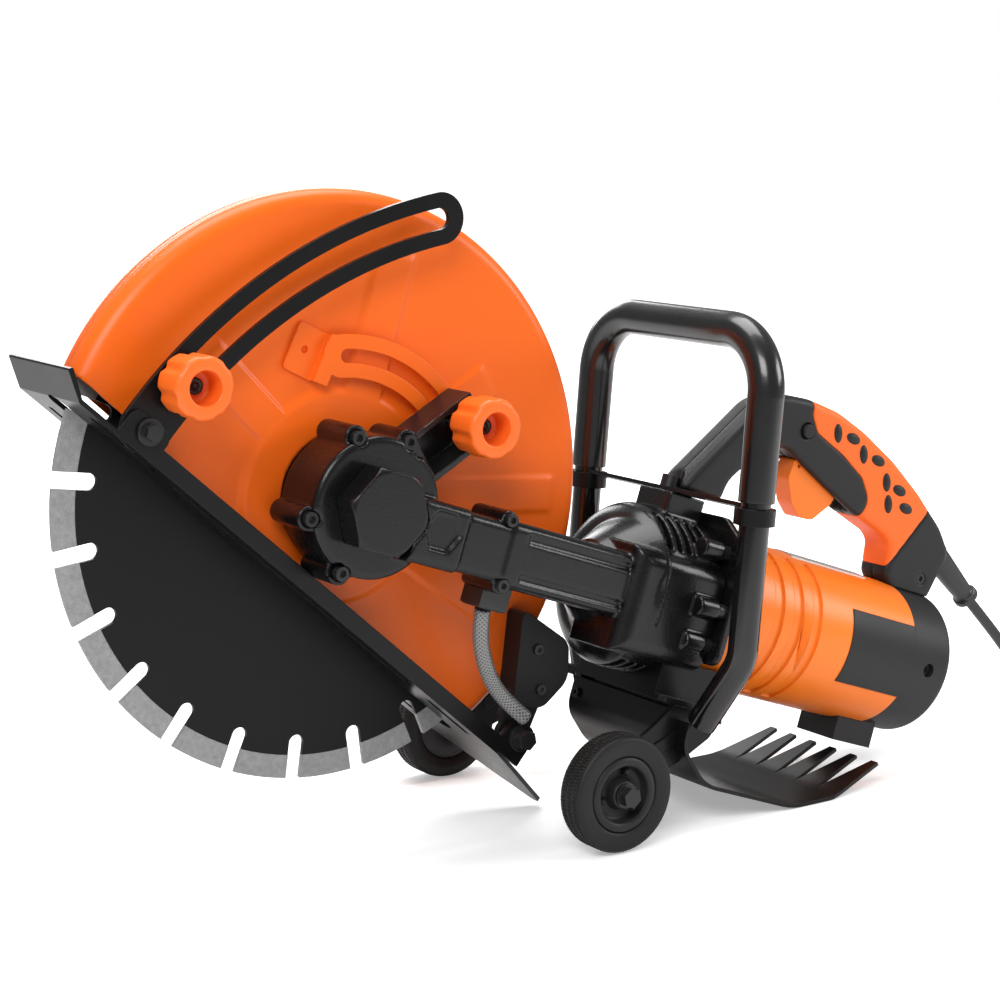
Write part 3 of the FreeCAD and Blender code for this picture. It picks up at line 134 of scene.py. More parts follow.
class Shaders:
    """Node groups that several finishes share, each built once."""

    _made: dict[str, bpy.types.NodeTree] = {}

    @staticmethod
    def _tree(name: str, ins: Sequence[tuple[str, str, float]], outs: Sequence[tuple[str, str]]
              ) -> tuple[bpy.types.NodeTree, bpy.types.Node, bpy.types.Node]:
        """An empty group with its sockets.

        Args:
            name: The group's name.
            ins: Name, socket kind and default of each input.
            outs: Name and socket kind of each output.

        Returns:
            The tree and its input and output nodes.
        """
        tree = bpy.data.node_groups.new(name, "ShaderNodeTree")
        for label, kind, value in ins:
            socket = tree.interface.new_socket(label, in_out="INPUT", socket_type=kind)
            if kind == "NodeSocketFloat":
                socket.default_value = value
        for label, kind in outs:
            tree.interface.new_socket(label, in_out="OUTPUT", socket_type=kind)
        return tree, tree.nodes.new("NodeGroupInput"), tree.nodes.new("NodeGroupOutput")

    @classmethod
    def grain(cls) -> bpy.types.NodeTree:
        """Fine and coarse mottling: gives a height, a fine mask and a broad mask."""
        if "grain" not in cls._made:
            tree, gin, gout = cls._tree(
                "surface_grain",
                [("Fine Scale", "NodeSocketFloat", 900.0), ("Broad Scale", "NodeSocketFloat", 14.0)],
                [("Height", "NodeSocketFloat"), ("Fine", "NodeSocketFloat"), ("Broad", "NodeSocketFloat")])
            nodes, links = tree.nodes, tree.links
            where = nodes.new("ShaderNodeTexCoord").outputs["Object"]
            fine = add_node(nodes, "ShaderNodeTexNoise",
                            {"Detail": 3.0, "Vector": where, "Scale": gin.outputs["Fine Scale"]})
            broad = add_node(nodes, "ShaderNodeTexNoise",
                             {"Detail": 5.0, "Roughness": 0.6, "Vector": where,
                              "Scale": gin.outputs["Broad Scale"]})
            mix = add_node(nodes, "ShaderNodeMath",
                           {0: broad.outputs["Fac"], 1: 0.25, 2: fine.outputs["Fac"]},
                           operation="MULTIPLY_ADD")
            links.new(mix.outputs[0], gout.inputs["Height"])
            links.new(fine.outputs["Fac"], gout.inputs["Fine"])
            links.new(broad.outputs["Fac"], gout.inputs["Broad"])
            cls._made["grain"] = tree
        return cls._made["grain"]

    @classmethod
    def edges(cls) -> bpy.types.NodeTree:
        """Softened edges: gives a rounded normal and a mask of the worn corners."""
        if "edges" not in cls._made:
            tree, gin, gout = cls._tree(
                "edge_wear", [("Radius", "NodeSocketFloat", 0.001), ("Amount", "NodeSocketFloat", 0.3)],
                [("Normal", "NodeSocketVector"), ("Worn", "NodeSocketFloat")])
            nodes, links = tree.nodes, tree.links
            bevel = add_node(nodes, "ShaderNodeBevel", {"Radius": gin.outputs["Radius"]}, samples=6)
            shape = nodes.new("ShaderNodeNewGeometry")
            dot = add_node(nodes, "ShaderNodeVectorMath",
                           {0: bevel.outputs["Normal"], 1: shape.outputs["Normal"]},
                           operation="DOT_PRODUCT")
            span = add_node(nodes, "ShaderNodeMapRange",
                            {"From Min": 0.99, "From Max": 0.72, "Value": dot.outputs["Value"]})
            where = nodes.new("ShaderNodeTexCoord").outputs["Object"]
            noise = add_node(nodes, "ShaderNodeTexNoise", {"Scale": 160.0, "Detail": 4.0, "Vector": where})
            chips = add_node(nodes, "ShaderNodeMapRange",
                             {"From Min": 0.52, "From Max": 0.68, "Value": noise.outputs["Fac"]})
            both = add_node(nodes, "ShaderNodeMath", {0: span.outputs[0], 1: chips.outputs[0]},
                            operation="MULTIPLY")
            scaled = add_node(nodes, "ShaderNodeMath", {0: both.outputs[0], 1: gin.outputs["Amount"]},
                              operation="MULTIPLY")
            links.new(bevel.outputs["Normal"], gout.inputs["Normal"])
            links.new(scaled.outputs[0], gout.inputs["Worn"])
            cls._made["edges"] = tree
        return cls._made["edges"]

    @classmethod
    def dust(cls) -> bpy.types.NodeTree:
        """Faint dust that settles on faces that look up: gives a mask."""
        if "dust" not in cls._made:
            tree, gin, gout = cls._tree("settled_dust", [("Amount", "NodeSocketFloat", 0.1)],
                                        [("Dust", "NodeSocketFloat")])
            nodes, links = tree.nodes, tree.links
            shape = nodes.new("ShaderNodeNewGeometry")
            split = add_node(nodes, "ShaderNodeSeparateXYZ", {0: shape.outputs["Normal"]})
            up = add_node(nodes, "ShaderNodeMapRange",
                          {"From Min": 0.35, "From Max": 1.0, "Value": split.outputs["Z"]})
            where = nodes.new("ShaderNodeTexCoord").outputs["Object"]
            noise = add_node(nodes, "ShaderNodeTexNoise", {"Scale": 60.0, "Detail": 6.0, "Vector": where})
            both = add_node(nodes, "ShaderNodeMath", {0: up.outputs[0], 1: noise.outputs["Fac"]},
                            operation="MULTIPLY")
            scaled = add_node(nodes, "ShaderNodeMath", {0: both.outputs[0], 1: gin.outputs["Amount"]},
                              operation="MULTIPLY")
            links.new(scaled.outputs[0], gout.inputs["Dust"])
            cls._made["dust"] = tree
        return cls._made["dust"]


# ---------------------------------------------------------------- finishes

Colour = tuple[float, float, float]


@dataclass(frozen=True)
class Finish:
    """One painted, moulded or machined finish and its procedural material."""

    name: str
    slot: str
    colour: Colour
    roughness: float = 0.4
    metallic: float = 0.0
    coat: float = 0.0
    specular: float = 0.5
    shade: float = 0.12
    fine_scale: float = 900.0
    broad_scale: float = 14.0
    bump: float = 0.00002
    rough_spread: float = 0.1
    edge: float = 0.0008
    worn: float = 0.25
    worn_colour: Colour = (0.35, 0.35, 0.36)
    dust: float = 0.06
    brushed: Optional[Point] = None
    pits: float = 0.0

    def material(self) -> bpy.types.Material:
        """The finish's material, made on first use.

        Returns:
            A node material that reads Object coordinates.
        """
        found = bpy.data.materials.get(self.name)
        if found is not None:
            return found
        made = bpy.data.materials.new(self.name)
        made.use_nodes = True
        made.diffuse_color = (*self.colour, 1.0)
        nodes, links = made.node_tree.nodes, made.node_tree.links
        shader = nodes["Principled BSDF"]
        shader.inputs["Metallic"].default_value = self.metallic
        shader.inputs["Coat Weight"].default_value = self.coat
        shader.inputs["Coat Roughness"].default_value = 0.06
        shader.inputs["Specular IOR Level"].default_value = self.specular
        grain = add_node(nodes, "ShaderNodeGroup",
                         {"Fine Scale": self.fine_scale, "Broad Scale": self.broad_scale},
                         node_tree=Shaders.grain())
        edges = add_node(nodes, "ShaderNodeGroup", {"Radius": self.edge, "Amount": self.worn},
                         node_tree=Shaders.edges())
        dust = add_node(nodes, "ShaderNodeGroup", {"Amount": self.dust}, node_tree=Shaders.dust())
        base = self._mix(nodes, grain.outputs["Broad"], self._tone(1.0 - self.shade),
                         self._tone(1.0 + self.shade))
        base = self._mix(nodes, edges.outputs["Worn"], base, self.worn_colour)
        base = self._mix(nodes, dust.outputs["Dust"], base, (0.55, 0.52, 0.48))
        links.new(base, shader.inputs["Base Color"])
        rough = add_node(nodes, "ShaderNodeMapRange",
                         {"To Min": max(0.02, self.roughness - self.rough_spread),
                          "To Max": min(1.0, self.roughness + self.rough_spread),
                          "Value": grain.outputs["Broad"]})
        dusty = add_node(nodes, "ShaderNodeMath", {0: rough.outputs[0], 1: dust.outputs["Dust"]},
                         operation="ADD")
        links.new(dusty.outputs[0], shader.inputs["Roughness"])
        bump = add_node(nodes, "ShaderNodeBump",
                        {"Strength": 1.0, "Distance": self.bump, "Normal": edges.outputs["Normal"],
                         "Height": self._relief(nodes, grain.outputs["Height"])})
        links.new(bump.outputs["Normal"], shader.inputs["Normal"])
        return made

    def _tone(self, share: float) -> Colour:
        """The base colour made lighter or darker by a share."""
        return tuple(min(1.0, c * share) for c in self.colour)

    def _relief(self, nodes: bpy.types.Nodes, height: bpy.types.NodeSocket) -> bpy.types.NodeSocket:
        """Adds brush lines or pits to the grain's height.

        Args:
            nodes: The material's nodes.
            height: The grain group's height output.

        Returns:
            The socket that feeds the bump.
        """
        extra = None
        where = nodes.new("ShaderNodeTexCoord").outputs["Object"]
        if self.brushed is not None:
            turn = add_node(nodes, "ShaderNodeMapping", {"Scale": self.brushed, "Vector": where})
            lines = add_node(nodes, "ShaderNodeTexNoise",
                             {"Scale": 60.0, "Detail": 6.0, "Vector": turn.outputs[0]})
            extra = lines.outputs["Fac"]
        if self.pits > 0.0:
            holes = add_node(nodes, "ShaderNodeTexVoronoi", {"Scale": self.pits, "Vector": where})
            extra = holes.outputs["Distance"]
        if extra is None:
            return height
        return add_node(nodes, "ShaderNodeMath", {0: height, 1: extra}, operation="ADD").outputs[0]

    @staticmethod
    def _mix(nodes: bpy.types.Nodes, factor: bpy.types.NodeSocket, first: object,
             second: object) -> bpy.types.NodeSocket:
        """Mixes two colours, each a socket or a plain colour.

        Args:
            nodes: The material's nodes.
            factor: The mask.
            first: Where the mask is 0.
            second: Where the mask is 1.

        Returns:
            The mixed colour's socket.
        """
        pair = [c if isinstance(c, bpy.types.NodeSocket) else (*c, 1.0) for c in (first, second)]
        mix = add_node(nodes, "ShaderNodeMix", data_type="RGBA")
        for index, value in ((0, factor), (6, pair[0]), (7, pair[1])):
            if isinstance(value, bpy.types.NodeSocket):
                mix.id_data.links.new(value, mix.inputs[index])
            else:
                mix.inputs[index].default_value = value
        return mix.outputs[2]


GUARD_ORANGE = Finish("guard_orange_enamel", "guard_paint", (0.88, 0.135, 0.007), roughness=0.36,
                      specular=0.3, shade=0.05, fine_scale=1500, bump=0.000012, edge=0.0012, worn=0.0,
                      dust=0.003)
MOTOR_ORANGE = Finish("motor_orange_moulding", "motor_plastic", (0.93, 0.2, 0.014), roughness=0.34,
                      specular=0.35, shade=0.05, fine_scale=1400, bump=0.00002, edge=0.0012, worn=0.0,
                      dust=0.003)
KNOB_ORANGE = Finish("knob_orange_moulding", "knob_plastic", (0.9, 0.145, 0.014), roughness=0.4,
                     shade=0.06, specular=0.4, fine_scale=1300, bump=0.00003, edge=0.0008, worn=0.0,
                     dust=0.003)
GRIP_ORANGE = Finish("grip_orange_soft", "grip_rubber", (0.88, 0.14, 0.012), roughness=0.5, shade=0.06,
                     specular=0.35, fine_scale=1800, bump=0.00004, edge=0.0015, worn=0.0, dust=0.003)
CAST_BLACK = Finish("cast_black_enamel", "cast_paint", (0.004, 0.004, 0.0045), roughness=0.26, coat=0.12,
                    specular=0.3, shade=0.25, fine_scale=420, broad_scale=45, bump=0.00012, edge=0.0016,
                    worn=0.12, worn_colour=(0.12, 0.12, 0.125), dust=0.003)
SHEET_BLACK = Finish("sheet_black_enamel", "sheet_paint", (0.005, 0.005, 0.0055), roughness=0.3,
                     specular=0.22, shade=0.2, fine_scale=1100, bump=0.00003, edge=0.0007, worn=0.15,
                     worn_colour=(0.16, 0.15, 0.14), dust=0.005)
TUBE_BLACK = Finish("tube_black_gloss", "tube_paint", (0.004, 0.004, 0.0045), roughness=0.1, coat=0.3,
                    specular=0.4, shade=0.2, fine_scale=900, bump=0.000008, edge=0.001, worn=0.0,
                    dust=0.01)
SLEEVE_BLACK = Finish("sleeve_black_rubber", "black_rubber", (0.006, 0.006, 0.0065), roughness=0.24,
                      coat=0.3, shade=0.2, fine_scale=1200, bump=0.00003, edge=0.0015, worn=0.0,
                      dust=0.015)
DARK_PLASTIC = Finish("dark_plastic_moulding", "dark_plastic", (0.012, 0.012, 0.013), roughness=0.46,
                      specular=0.3, shade=0.12, fine_scale=2200, bump=0.00006, edge=0.001, worn=0.0,
                      dust=0.02)
TYRE_RUBBER = Finish("tyre_rubber", "black_rubber", (0.008, 0.008, 0.008), roughness=0.5, specular=0.3,
                     shade=0.3, fine_scale=1500, bump=0.00006, edge=0.0008, worn=0.0, dust=0.02)
BLADE_BLACK = Finish("blade_black_coat", "blade_core_steel", (0.005, 0.005, 0.0055), roughness=0.42,
                     specular=0.2, shade=0.2, fine_scale=1300, broad_scale=9, bump=0.00003, edge=0.0003,
                     worn=0.2, dust=0.01)
SEGMENT_GRIT = Finish("sintered_segment_grit", "segment_grit", (0.3, 0.3, 0.3), roughness=0.62,
                      metallic=0.35, shade=0.4, fine_scale=1800, broad_scale=260, bump=0.00022,
                      edge=0.0006, worn=0.0, dust=0.0, pits=900)
CLAMP_BLACK = Finish("clamp_black_worn", "sheet_paint", (0.008, 0.008, 0.0085), roughness=0.3, shade=0.2,
                     fine_scale=1100, bump=0.00003, edge=0.0014, worn=0.9, worn_colour=(0.5, 0.5, 0.5),
                     dust=0.02)
MACHINED = Finish("machined_steel", "steel", (0.42, 0.42, 0.43), roughness=0.3, metallic=1.0, shade=0.15,
                  fine_scale=900, bump=0.00002, edge=0.0005, dust=0.0, brushed=(1.0, 12.0, 1.0))
SCREW_BLACK = Finish("blackened_screws", "dark_screws", (0.03, 0.03, 0.032), roughness=0.34,
                     metallic=0.6, shade=0.25, fine_scale=1500, bump=0.00002, edge=0.0005, worn=0.5,
                     worn_colour=(0.3, 0.3, 0.31))
COPPER = Finish("copper_bars", "copper", (0.6, 0.27, 0.13), roughness=0.35, metallic=1.0, edge=0.0003)
SILVER_PLATE = Finish("silver_plate", "plate_metal", (0.62, 0.62, 0.6), roughness=0.36, metallic=0.7,
                      shade=0.06, bump=0.00001, edge=0.0004, brushed=(1.0, 40.0, 1.0))
FITTING_BLACK = Finish("fitting_black", "fitting_plastic", (0.014, 0.014, 0.014), roughness=0.4,
                       fine_scale=1500, bump=0.00004)
CORD_BLACK = Finish("cord_black_rubber", "black_rubber", (0.013, 0.013, 0.014), roughness=0.42,
                    shade=0.15, fine_scale=2400, bump=0.00003, edge=0.0003, worn=0.0, dust=0.02)


@dataclass(frozen=True)
class BraidFinish:
    """Clear hose with a woven thread, drawn along the hose's own UV map."""

    name: str = "braided_clear_hose"
    slot: str = "hose_clear"
    thread_turns: float = 7.0
    pitch_count: float = 22.0

    def material(self) -> bpy.types.Material:
        """The hose's material, made on first use."""
        found = bpy.data.materials.get(self.name)
        if found is not None:
            return found
        made = bpy.data.materials.new(self.name)
        made.use_nodes = True
        nodes, links = made.node_tree.nodes, made.node_tree.links
        shader = nodes["Principled BSDF"]
        shader.inputs["Coat Weight"].default_value = 0.7
        shader.inputs["Coat Roughness"].default_value = 0.05
        where = add_node(nodes, "ShaderNodeUVMap", uv_map="along").outputs["UV"]
        threads = []
        for side in (1.0, -1.0):
            turn = add_node(nodes, "ShaderNodeMapping",
                            {"Scale": (self.pitch_count, self.thread_turns * side, 1.0), "Vector": where})
            wave = add_node(nodes, "ShaderNodeTexWave", {"Scale": 1.0, "Vector": turn.outputs[0]},
                            bands_direction="DIAGONAL")
            threads.append(wave.outputs["Fac"])
        weave = add_node(nodes, "ShaderNodeMath", {0: threads[0], 1: threads[1]}, operation="MAXIMUM")
        ramp = add_node(nodes, "ShaderNodeValToRGB", {"Fac": weave.outputs[0]})
        ramp.color_ramp.elements[0].color = (0.035, 0.035, 0.036, 1.0)
        ramp.color_ramp.elements[0].position = 0.45
        ramp.color_ramp.elements[1].color = (0.22, 0.22, 0.215, 1.0)
        ramp.color_ramp.elements[1].position = 0.9
        links.new(ramp.outputs["Color"], shader.inputs["Base Color"])
        shader.inputs["Roughness"].default_value = 0.3
        bump = add_node(nodes, "ShaderNodeBump", {"Distance": 0.0002, "Height": weave.outputs[0]})
        links.new(bump.outputs["Normal"], shader.inputs["Normal"])
        return made


HOSE_BRAID = BraidFinish()


# ---------------------------------------------------------------- mesh helpers

def new_piece(name: str, mesh: bpy.types.Mesh, finish: object) -> bpy.types.Object:
    """Links a mesh as a piece with its finish.

    Args:
        name: The piece's name.
        mesh: Its mesh, already in the row frame.
        finish: A Finish or BraidFinish.

    Returns:
        The new object.
    """
    piece = put_in_scene(name, mesh)
    mesh.materials.clear()
    mesh.materials.append(finish.material())
    return piece


def grid_mesh(name: str, rows: int, columns: int, place: Callable[[int, int], Vector], wrap: bool,
              cap_ends: bool = False) -> bpy.types.Mesh:
    """A mesh of quads over a grid of points.

    Args:
        name: The mesh's name.
        rows: Points along the first way.
        columns: Points along the second way.
        place: Gives the point of a row and column, in metres.
        wrap: Whether the last column joins the first.
        cap_ends: Whether the first and last rows are closed.

    Returns:
        A smooth mesh with its faces pointing outward.
    """
    build = bmesh.new()
    points = [[build.verts.new(place(r, c)) for c in range(columns)] for r in range(rows)]
    last = columns if wrap else columns - 1
    for r in range(rows - 1):
        for c in range(last):
            d = (c + 1) % columns
            build.faces.new((points[r][c], points[r][d], points[r + 1][d], points[r + 1][c]))
    if cap_ends:
        build.faces.new(points[0])
        build.faces.new(list(reversed(points[-1])))
    bmesh.ops.remove_doubles(build, verts=build.verts, dist=1e-6)
    bmesh.ops.recalc_face_normals(build, faces=build.faces)
    mesh = bpy.data.meshes.new(name)
    build.to_mesh(mesh)
    build.free()
    mesh.shade_smooth()
    return mesh


def turned_mesh(name: str, profile: Sequence[tuple[float, float]], origin: Vector, axis: Vector,
                steps: int = 72, swell: Optional[Callable[[float, float, float], float]] = None
                ) -> bpy.types.Mesh:
    """A closed body turned from a profile.

    Args:
        name: The mesh's name.
        profile: Pairs of radius and height along the axis, in millimetres.
        origin: Where height 0 stands, in metres.
        axis: The turning axis.
        steps: Divisions round the axis.
        swell: Gives the radius for a turn angle, a radius and a height.

    Returns:
        The turned mesh.
    """
    spin = axis.normalized().to_track_quat("Z", "X").to_matrix()

    def place(r: int, c: int) -> Vector:
        a = 2.0 * math.pi * c / steps
        radius, height = profile[r]
        if swell is not None:
            radius = swell(a, radius, height)
        return origin + spin @ Vector((radius * math.cos(a), radius * math.sin(a), height)) * MM

    closed = profile[0] == profile[-1]
    return grid_mesh(name, len(profile), steps, place, wrap=True, cap_ends=not closed)


def arc_profile(centre: tuple[float, float], radius: float, start: float, end: float,
                count: int = 6) -> list[tuple[float, float]]:
    """Points of a rounded corner in a profile.

    Args:
        centre: The corner's centre, radius then height, in millimetres.
        radius: The corner's radius.
        start: Start angle in degrees.
        end: End angle in degrees.
        count: Number of steps.

    Returns:
        The corner's points.
    """
    found = []
    for i in range(count + 1):
        a = math.radians(start + (end - start) * i / count)
        found.append((centre[0] + radius * math.cos(a), centre[1] + radius * math.sin(a)))
    return found


def softened(source: bpy.types.Object, name: str, voxel: float, rounds: int, keep: float,
             factor: float = 0.5) -> bpy.types.Mesh:
    """A cast or moulded copy of a CAD solid with every edge eased.

    Args:
        source: The CAD node's object.
        name: The new mesh's name.
        voxel: Remesh size in millimetres.
        rounds: Smoothing passes; more make rounder edges.
        keep: Share of the faces kept at the end.
        factor: Strength of each pass.

    Returns:
        The plain mesh.
    """
    copy = put_in_scene(name + "_work", source.data.copy())
    weld = copy.modifiers.new("weld", "WELD")
    weld.merge_threshold = 1e-5
    remesh = copy.modifiers.new("remesh", "REMESH")
    remesh.mode = "VOXEL"
    remesh.voxel_size = voxel * MM
    remesh.use_smooth_shade = True
    ease = copy.modifiers.new("ease", "SMOOTH")
    ease.factor = factor
    ease.iterations = rounds
    thin = copy.modifiers.new("thin", "DECIMATE")
    thin.ratio = keep
    mesh = plain_mesh(copy)
    mesh.name = name
    mesh.shade_smooth()
    bpy.data.objects.remove(copy)
    return mesh


def applied(piece: bpy.types.Object) -> None:
    """Turns a piece's modifiers into its plain mesh."""
    mesh = plain_mesh(piece)
    piece.modifiers.clear()
    piece.data = mesh


def spaced(tree: bpy.types.NodeTree, sockets: Sequence[tuple[str, str, object]]) -> None:
    """Gives a geometry tree its named inputs and its geometry sockets.

    Args:
        tree: The tree.
        sockets: Name, socket kind and default of each size.
    """
    tree.interface.new_socket("Geometry", in_out="INPUT", socket_type="NodeSocketGeometry")
    tree.interface.new_socket("Geometry", in_out="OUTPUT", socket_type="NodeSocketGeometry")
    for label, kind, value in sockets:
        socket = tree.interface.new_socket(label, in_out="INPUT", socket_type=kind)
        if kind != "NodeSocketMaterial":
            socket.default_value = value


class RepeatTree:
    """Geometry Nodes that set one shape on every point of a mesh, turned along its normal."""

    _tree: Optional[bpy.types.NodeTree] = None

    @classmethod
    def tree(cls) -> bpy.types.NodeTree:
        """The node tree, made on first use."""
        if cls._tree is not None:
            return cls._tree
        tree = bpy.data.node_groups.new("set_on_points", "GeometryNodeTree")
        spaced(tree, [("Size", "NodeSocketVector", (0.004, 0.002, 0.001)),
                      ("Segments", "NodeSocketInt", 14), ("Rings", "NodeSocketInt", 8),
                      ("Material", "NodeSocketMaterial", None)])
        nodes, links = tree.nodes, tree.links
        gin, gout = nodes.new("NodeGroupInput"), nodes.new("NodeGroupOutput")
        ball = nodes.new("GeometryNodeMeshUVSphere")
        ball.inputs["Radius"].default_value = 1.0
        links.new(gin.outputs["Segments"], ball.inputs["Segments"])
        links.new(gin.outputs["Rings"], ball.inputs["Rings"])
        turn = nodes.new("GeometryNodeInputNamedAttribute")
        turn.data_type = "FLOAT_VECTOR"
        turn.inputs["Name"].default_value = "turn"
        grow = nodes.new("GeometryNodeInputNamedAttribute")
        grow.data_type = "FLOAT"
        grow.inputs["Name"].default_value = "grow"
        size = nodes.new("ShaderNodeVectorMath")
        size.operation = "SCALE"
        links.new(gin.outputs["Size"], size.inputs[0])
        links.new(grow.outputs["Attribute"], size.inputs["Scale"])
        place = nodes.new("GeometryNodeInstanceOnPoints")
        links.new(gin.outputs["Geometry"], place.inputs["Points"])
        links.new(ball.outputs["Mesh"], place.inputs["Instance"])
        links.new(turn.outputs["Attribute"], place.inputs["Rotation"])
        links.new(size.outputs["Vector"], place.inputs["Scale"])
        real = nodes.new("GeometryNodeRealizeInstances")
        smooth = nodes.new("GeometryNodeSetShadeSmooth")
        dress = nodes.new("GeometryNodeSetMaterial")
        links.new(place.outputs["Instances"], real.inputs["Geometry"])
        links.new(real.outputs["Geometry"], smooth.inputs["Geometry"])
        links.new(smooth.outputs["Geometry"], dress.inputs["Geometry"])
        links.new(gin.outputs["Material"], dress.inputs["Material"])
        links.new(dress.outputs["Geometry"], gout.inputs["Geometry"])
        cls._tree = tree
        return tree

    @classmethod
    def on(cls, name: str, spots: Sequence[tuple[Vector, Vector, float]], size: Point,
           finish: Finish, segments: int = 14, rings: int = 8) -> bpy.types.Object:
        """Sets a lens-shaped stud on each spot.

        Args:
            name: The piece's name.
            spots: Place, turn (Euler angles) and growth of each stud.
            size: Half sizes in metres.
            finish: The studs' finish.
            segments: Divisions round each stud.
            rings: Divisions along each stud.

        Returns:
            The piece, already a plain mesh.
        """
        mesh = bpy.data.meshes.new(name + "_points")
        mesh.from_pydata([spot[0] for spot in spots], [], [])
        turns = mesh.attributes.new("turn", "FLOAT_VECTOR", "POINT")
        turns.data.foreach_set("vector", [v for spot in spots for v in spot[1]])
        grows = mesh.attributes.new("grow", "FLOAT", "POINT")
        grows.data.foreach_set("value", [spot[2] for spot in spots])
        piece = put_in_scene(name, mesh)
        modifier = piece.modifiers.new("repeat", "NODES")
        tree = cls.tree()
        modifier.node_group = tree
        values = {"Size": size, "Segments": segments, "Rings": rings, "Material": finish.material()}
        for item in tree.interface.items_tree:
            if item.in_out == "INPUT" and item.name in values:
                modifier[item.identifier] = values[item.name]
        applied(piece)
        return piece


# ---------------------------------------------------------------- setting

@dataclass
class Studio:
    """Floor, soft lights and the camera."""

    lens: float = 83.74
    eye: tuple[float, float, float] = (-0.9907, -1.3723, 0.5338)
    look: tuple[float, float, float] = (0.5550, 0.8137, -0.1730)
    near_glow: float = 0.34
    far_glow: float = 1.0
    glow_from: float = 0.45
    glow_to: float = 1.5

    def camera(self) -> None:
        """Makes the camera at the view the saw is shown from."""
        data = bpy.data.cameras.new("view")
        data.lens = self.lens
        data.sensor_width = 36.0
        data.clip_end = 60.0
        camera = put_in_scene("view", data)
        camera.location = self.eye
        camera.rotation_euler = Vector(self.look).to_track_quat("-Z", "Y").to_euler()
        bpy.context.scene.camera = camera

    def floor(self) -> None:
        """Lays a pale floor that goes to plain white away from the saw."""
        build = bmesh.new()
        bmesh.ops.create_grid(build, x_segments=4, y_segments=4, size=14.0)
        mesh = bpy.data.meshes.new("floor")
        build.to_mesh(mesh)
        build.free()
        plain = bpy.data.materials.new("floor_paper")
        plain.use_nodes = True
        nodes, links = plain.node_tree.nodes, plain.node_tree.links
        shader = nodes["Principled BSDF"]
        shader.inputs["Base Color"].default_value = (0.93, 0.93, 0.93, 1.0)
        shader.inputs["Roughness"].default_value = 0.9
        shader.inputs["Specular IOR Level"].default_value = 0.1
        shader.inputs["Emission Color"].default_value = (1.0, 1.0, 1.0, 1.0)
        where = nodes.new("ShaderNodeTexCoord").outputs["Object"]
        away = add_node(nodes, "ShaderNodeVectorMath", {0: where}, operation="LENGTH")
        glow = add_node(nodes, "ShaderNodeMapRange",
                        {"From Min": self.glow_from, "From Max": self.glow_to, "To Min": self.near_glow,
                         "To Max": self.far_glow, "Value": away.outputs["Value"]},
                        interpolation_type="SMOOTHSTEP")
        path = nodes.new("ShaderNodeLightPath")
        seen = add_node(nodes, "ShaderNodeMath", {0: glow.outputs[0], 1: path.outputs["Is Camera Ray"]},
                        operation="MULTIPLY")
        links.new(seen.outputs[0], shader.inputs["Emission Strength"])
        mesh.materials.append(plain)
        floor = put_in_scene("floor", mesh)
        floor.location = (0.0, 0.0, -0.0006)

    def lights(self) -> None:
        """Hangs soft boxes and a pale sky."""
        world = bpy.data.worlds.new("studio")
        world.use_nodes = True
        nodes, links = world.node_tree.nodes, world.node_tree.links
        sky = nodes["Background"]
        sky.inputs["Color"].default_value = (1.0, 1.0, 1.0, 1.0)
        sky.inputs["Strength"].default_value = 0.3
        seen = add_node(nodes, "ShaderNodeBackground", {"Color": (1.0, 1.0, 1.0, 1.0), "Strength": 1.0})
        path = nodes.new("ShaderNodeLightPath")
        mix = add_node(nodes, "ShaderNodeMixShader",
                       {0: path.outputs["Is Camera Ray"], 1: sky.outputs[0], 2: seen.outputs[0]})
        links.new(mix.outputs[0], nodes["World Output"].inputs["Surface"])
        bpy.context.scene.world = world
        spots = (
            ("key", (-1.6, -1.5, 1.9), (0.0, 0.0, 0.2), 1.5, 46.0),
            ("side", (1.9, -1.2, 1.0), (0.1, 0.0, 0.15), 1.1, 20.0),
            ("top", (0.1, 0.4, 2.2), (0.0, 0.0, 0.2), 1.9, 50.0),
            ("rim", (0.6, 2.2, 1.1), (0.0, 0.0, 0.25), 1.4, 22.0),
        )
        for name, place, aim, size, power in spots:
            data = bpy.data.lights.new(name, "AREA")
            data.shape = "RECTANGLE"
            data.size = size
            data.size_y = size * 0.7
            data.energy = power
            light = put_in_scene(name, data)
            light.location = place
            light.rotation_euler = (Vector(aim) - Vector(place)).to_track_quat("-Z", "Y").to_euler()
        view = bpy.context.scene.view_settings
        view.view_transform = "Standard"
        view.look = "None"


# ---------------------------------------------------------------- cord and hose

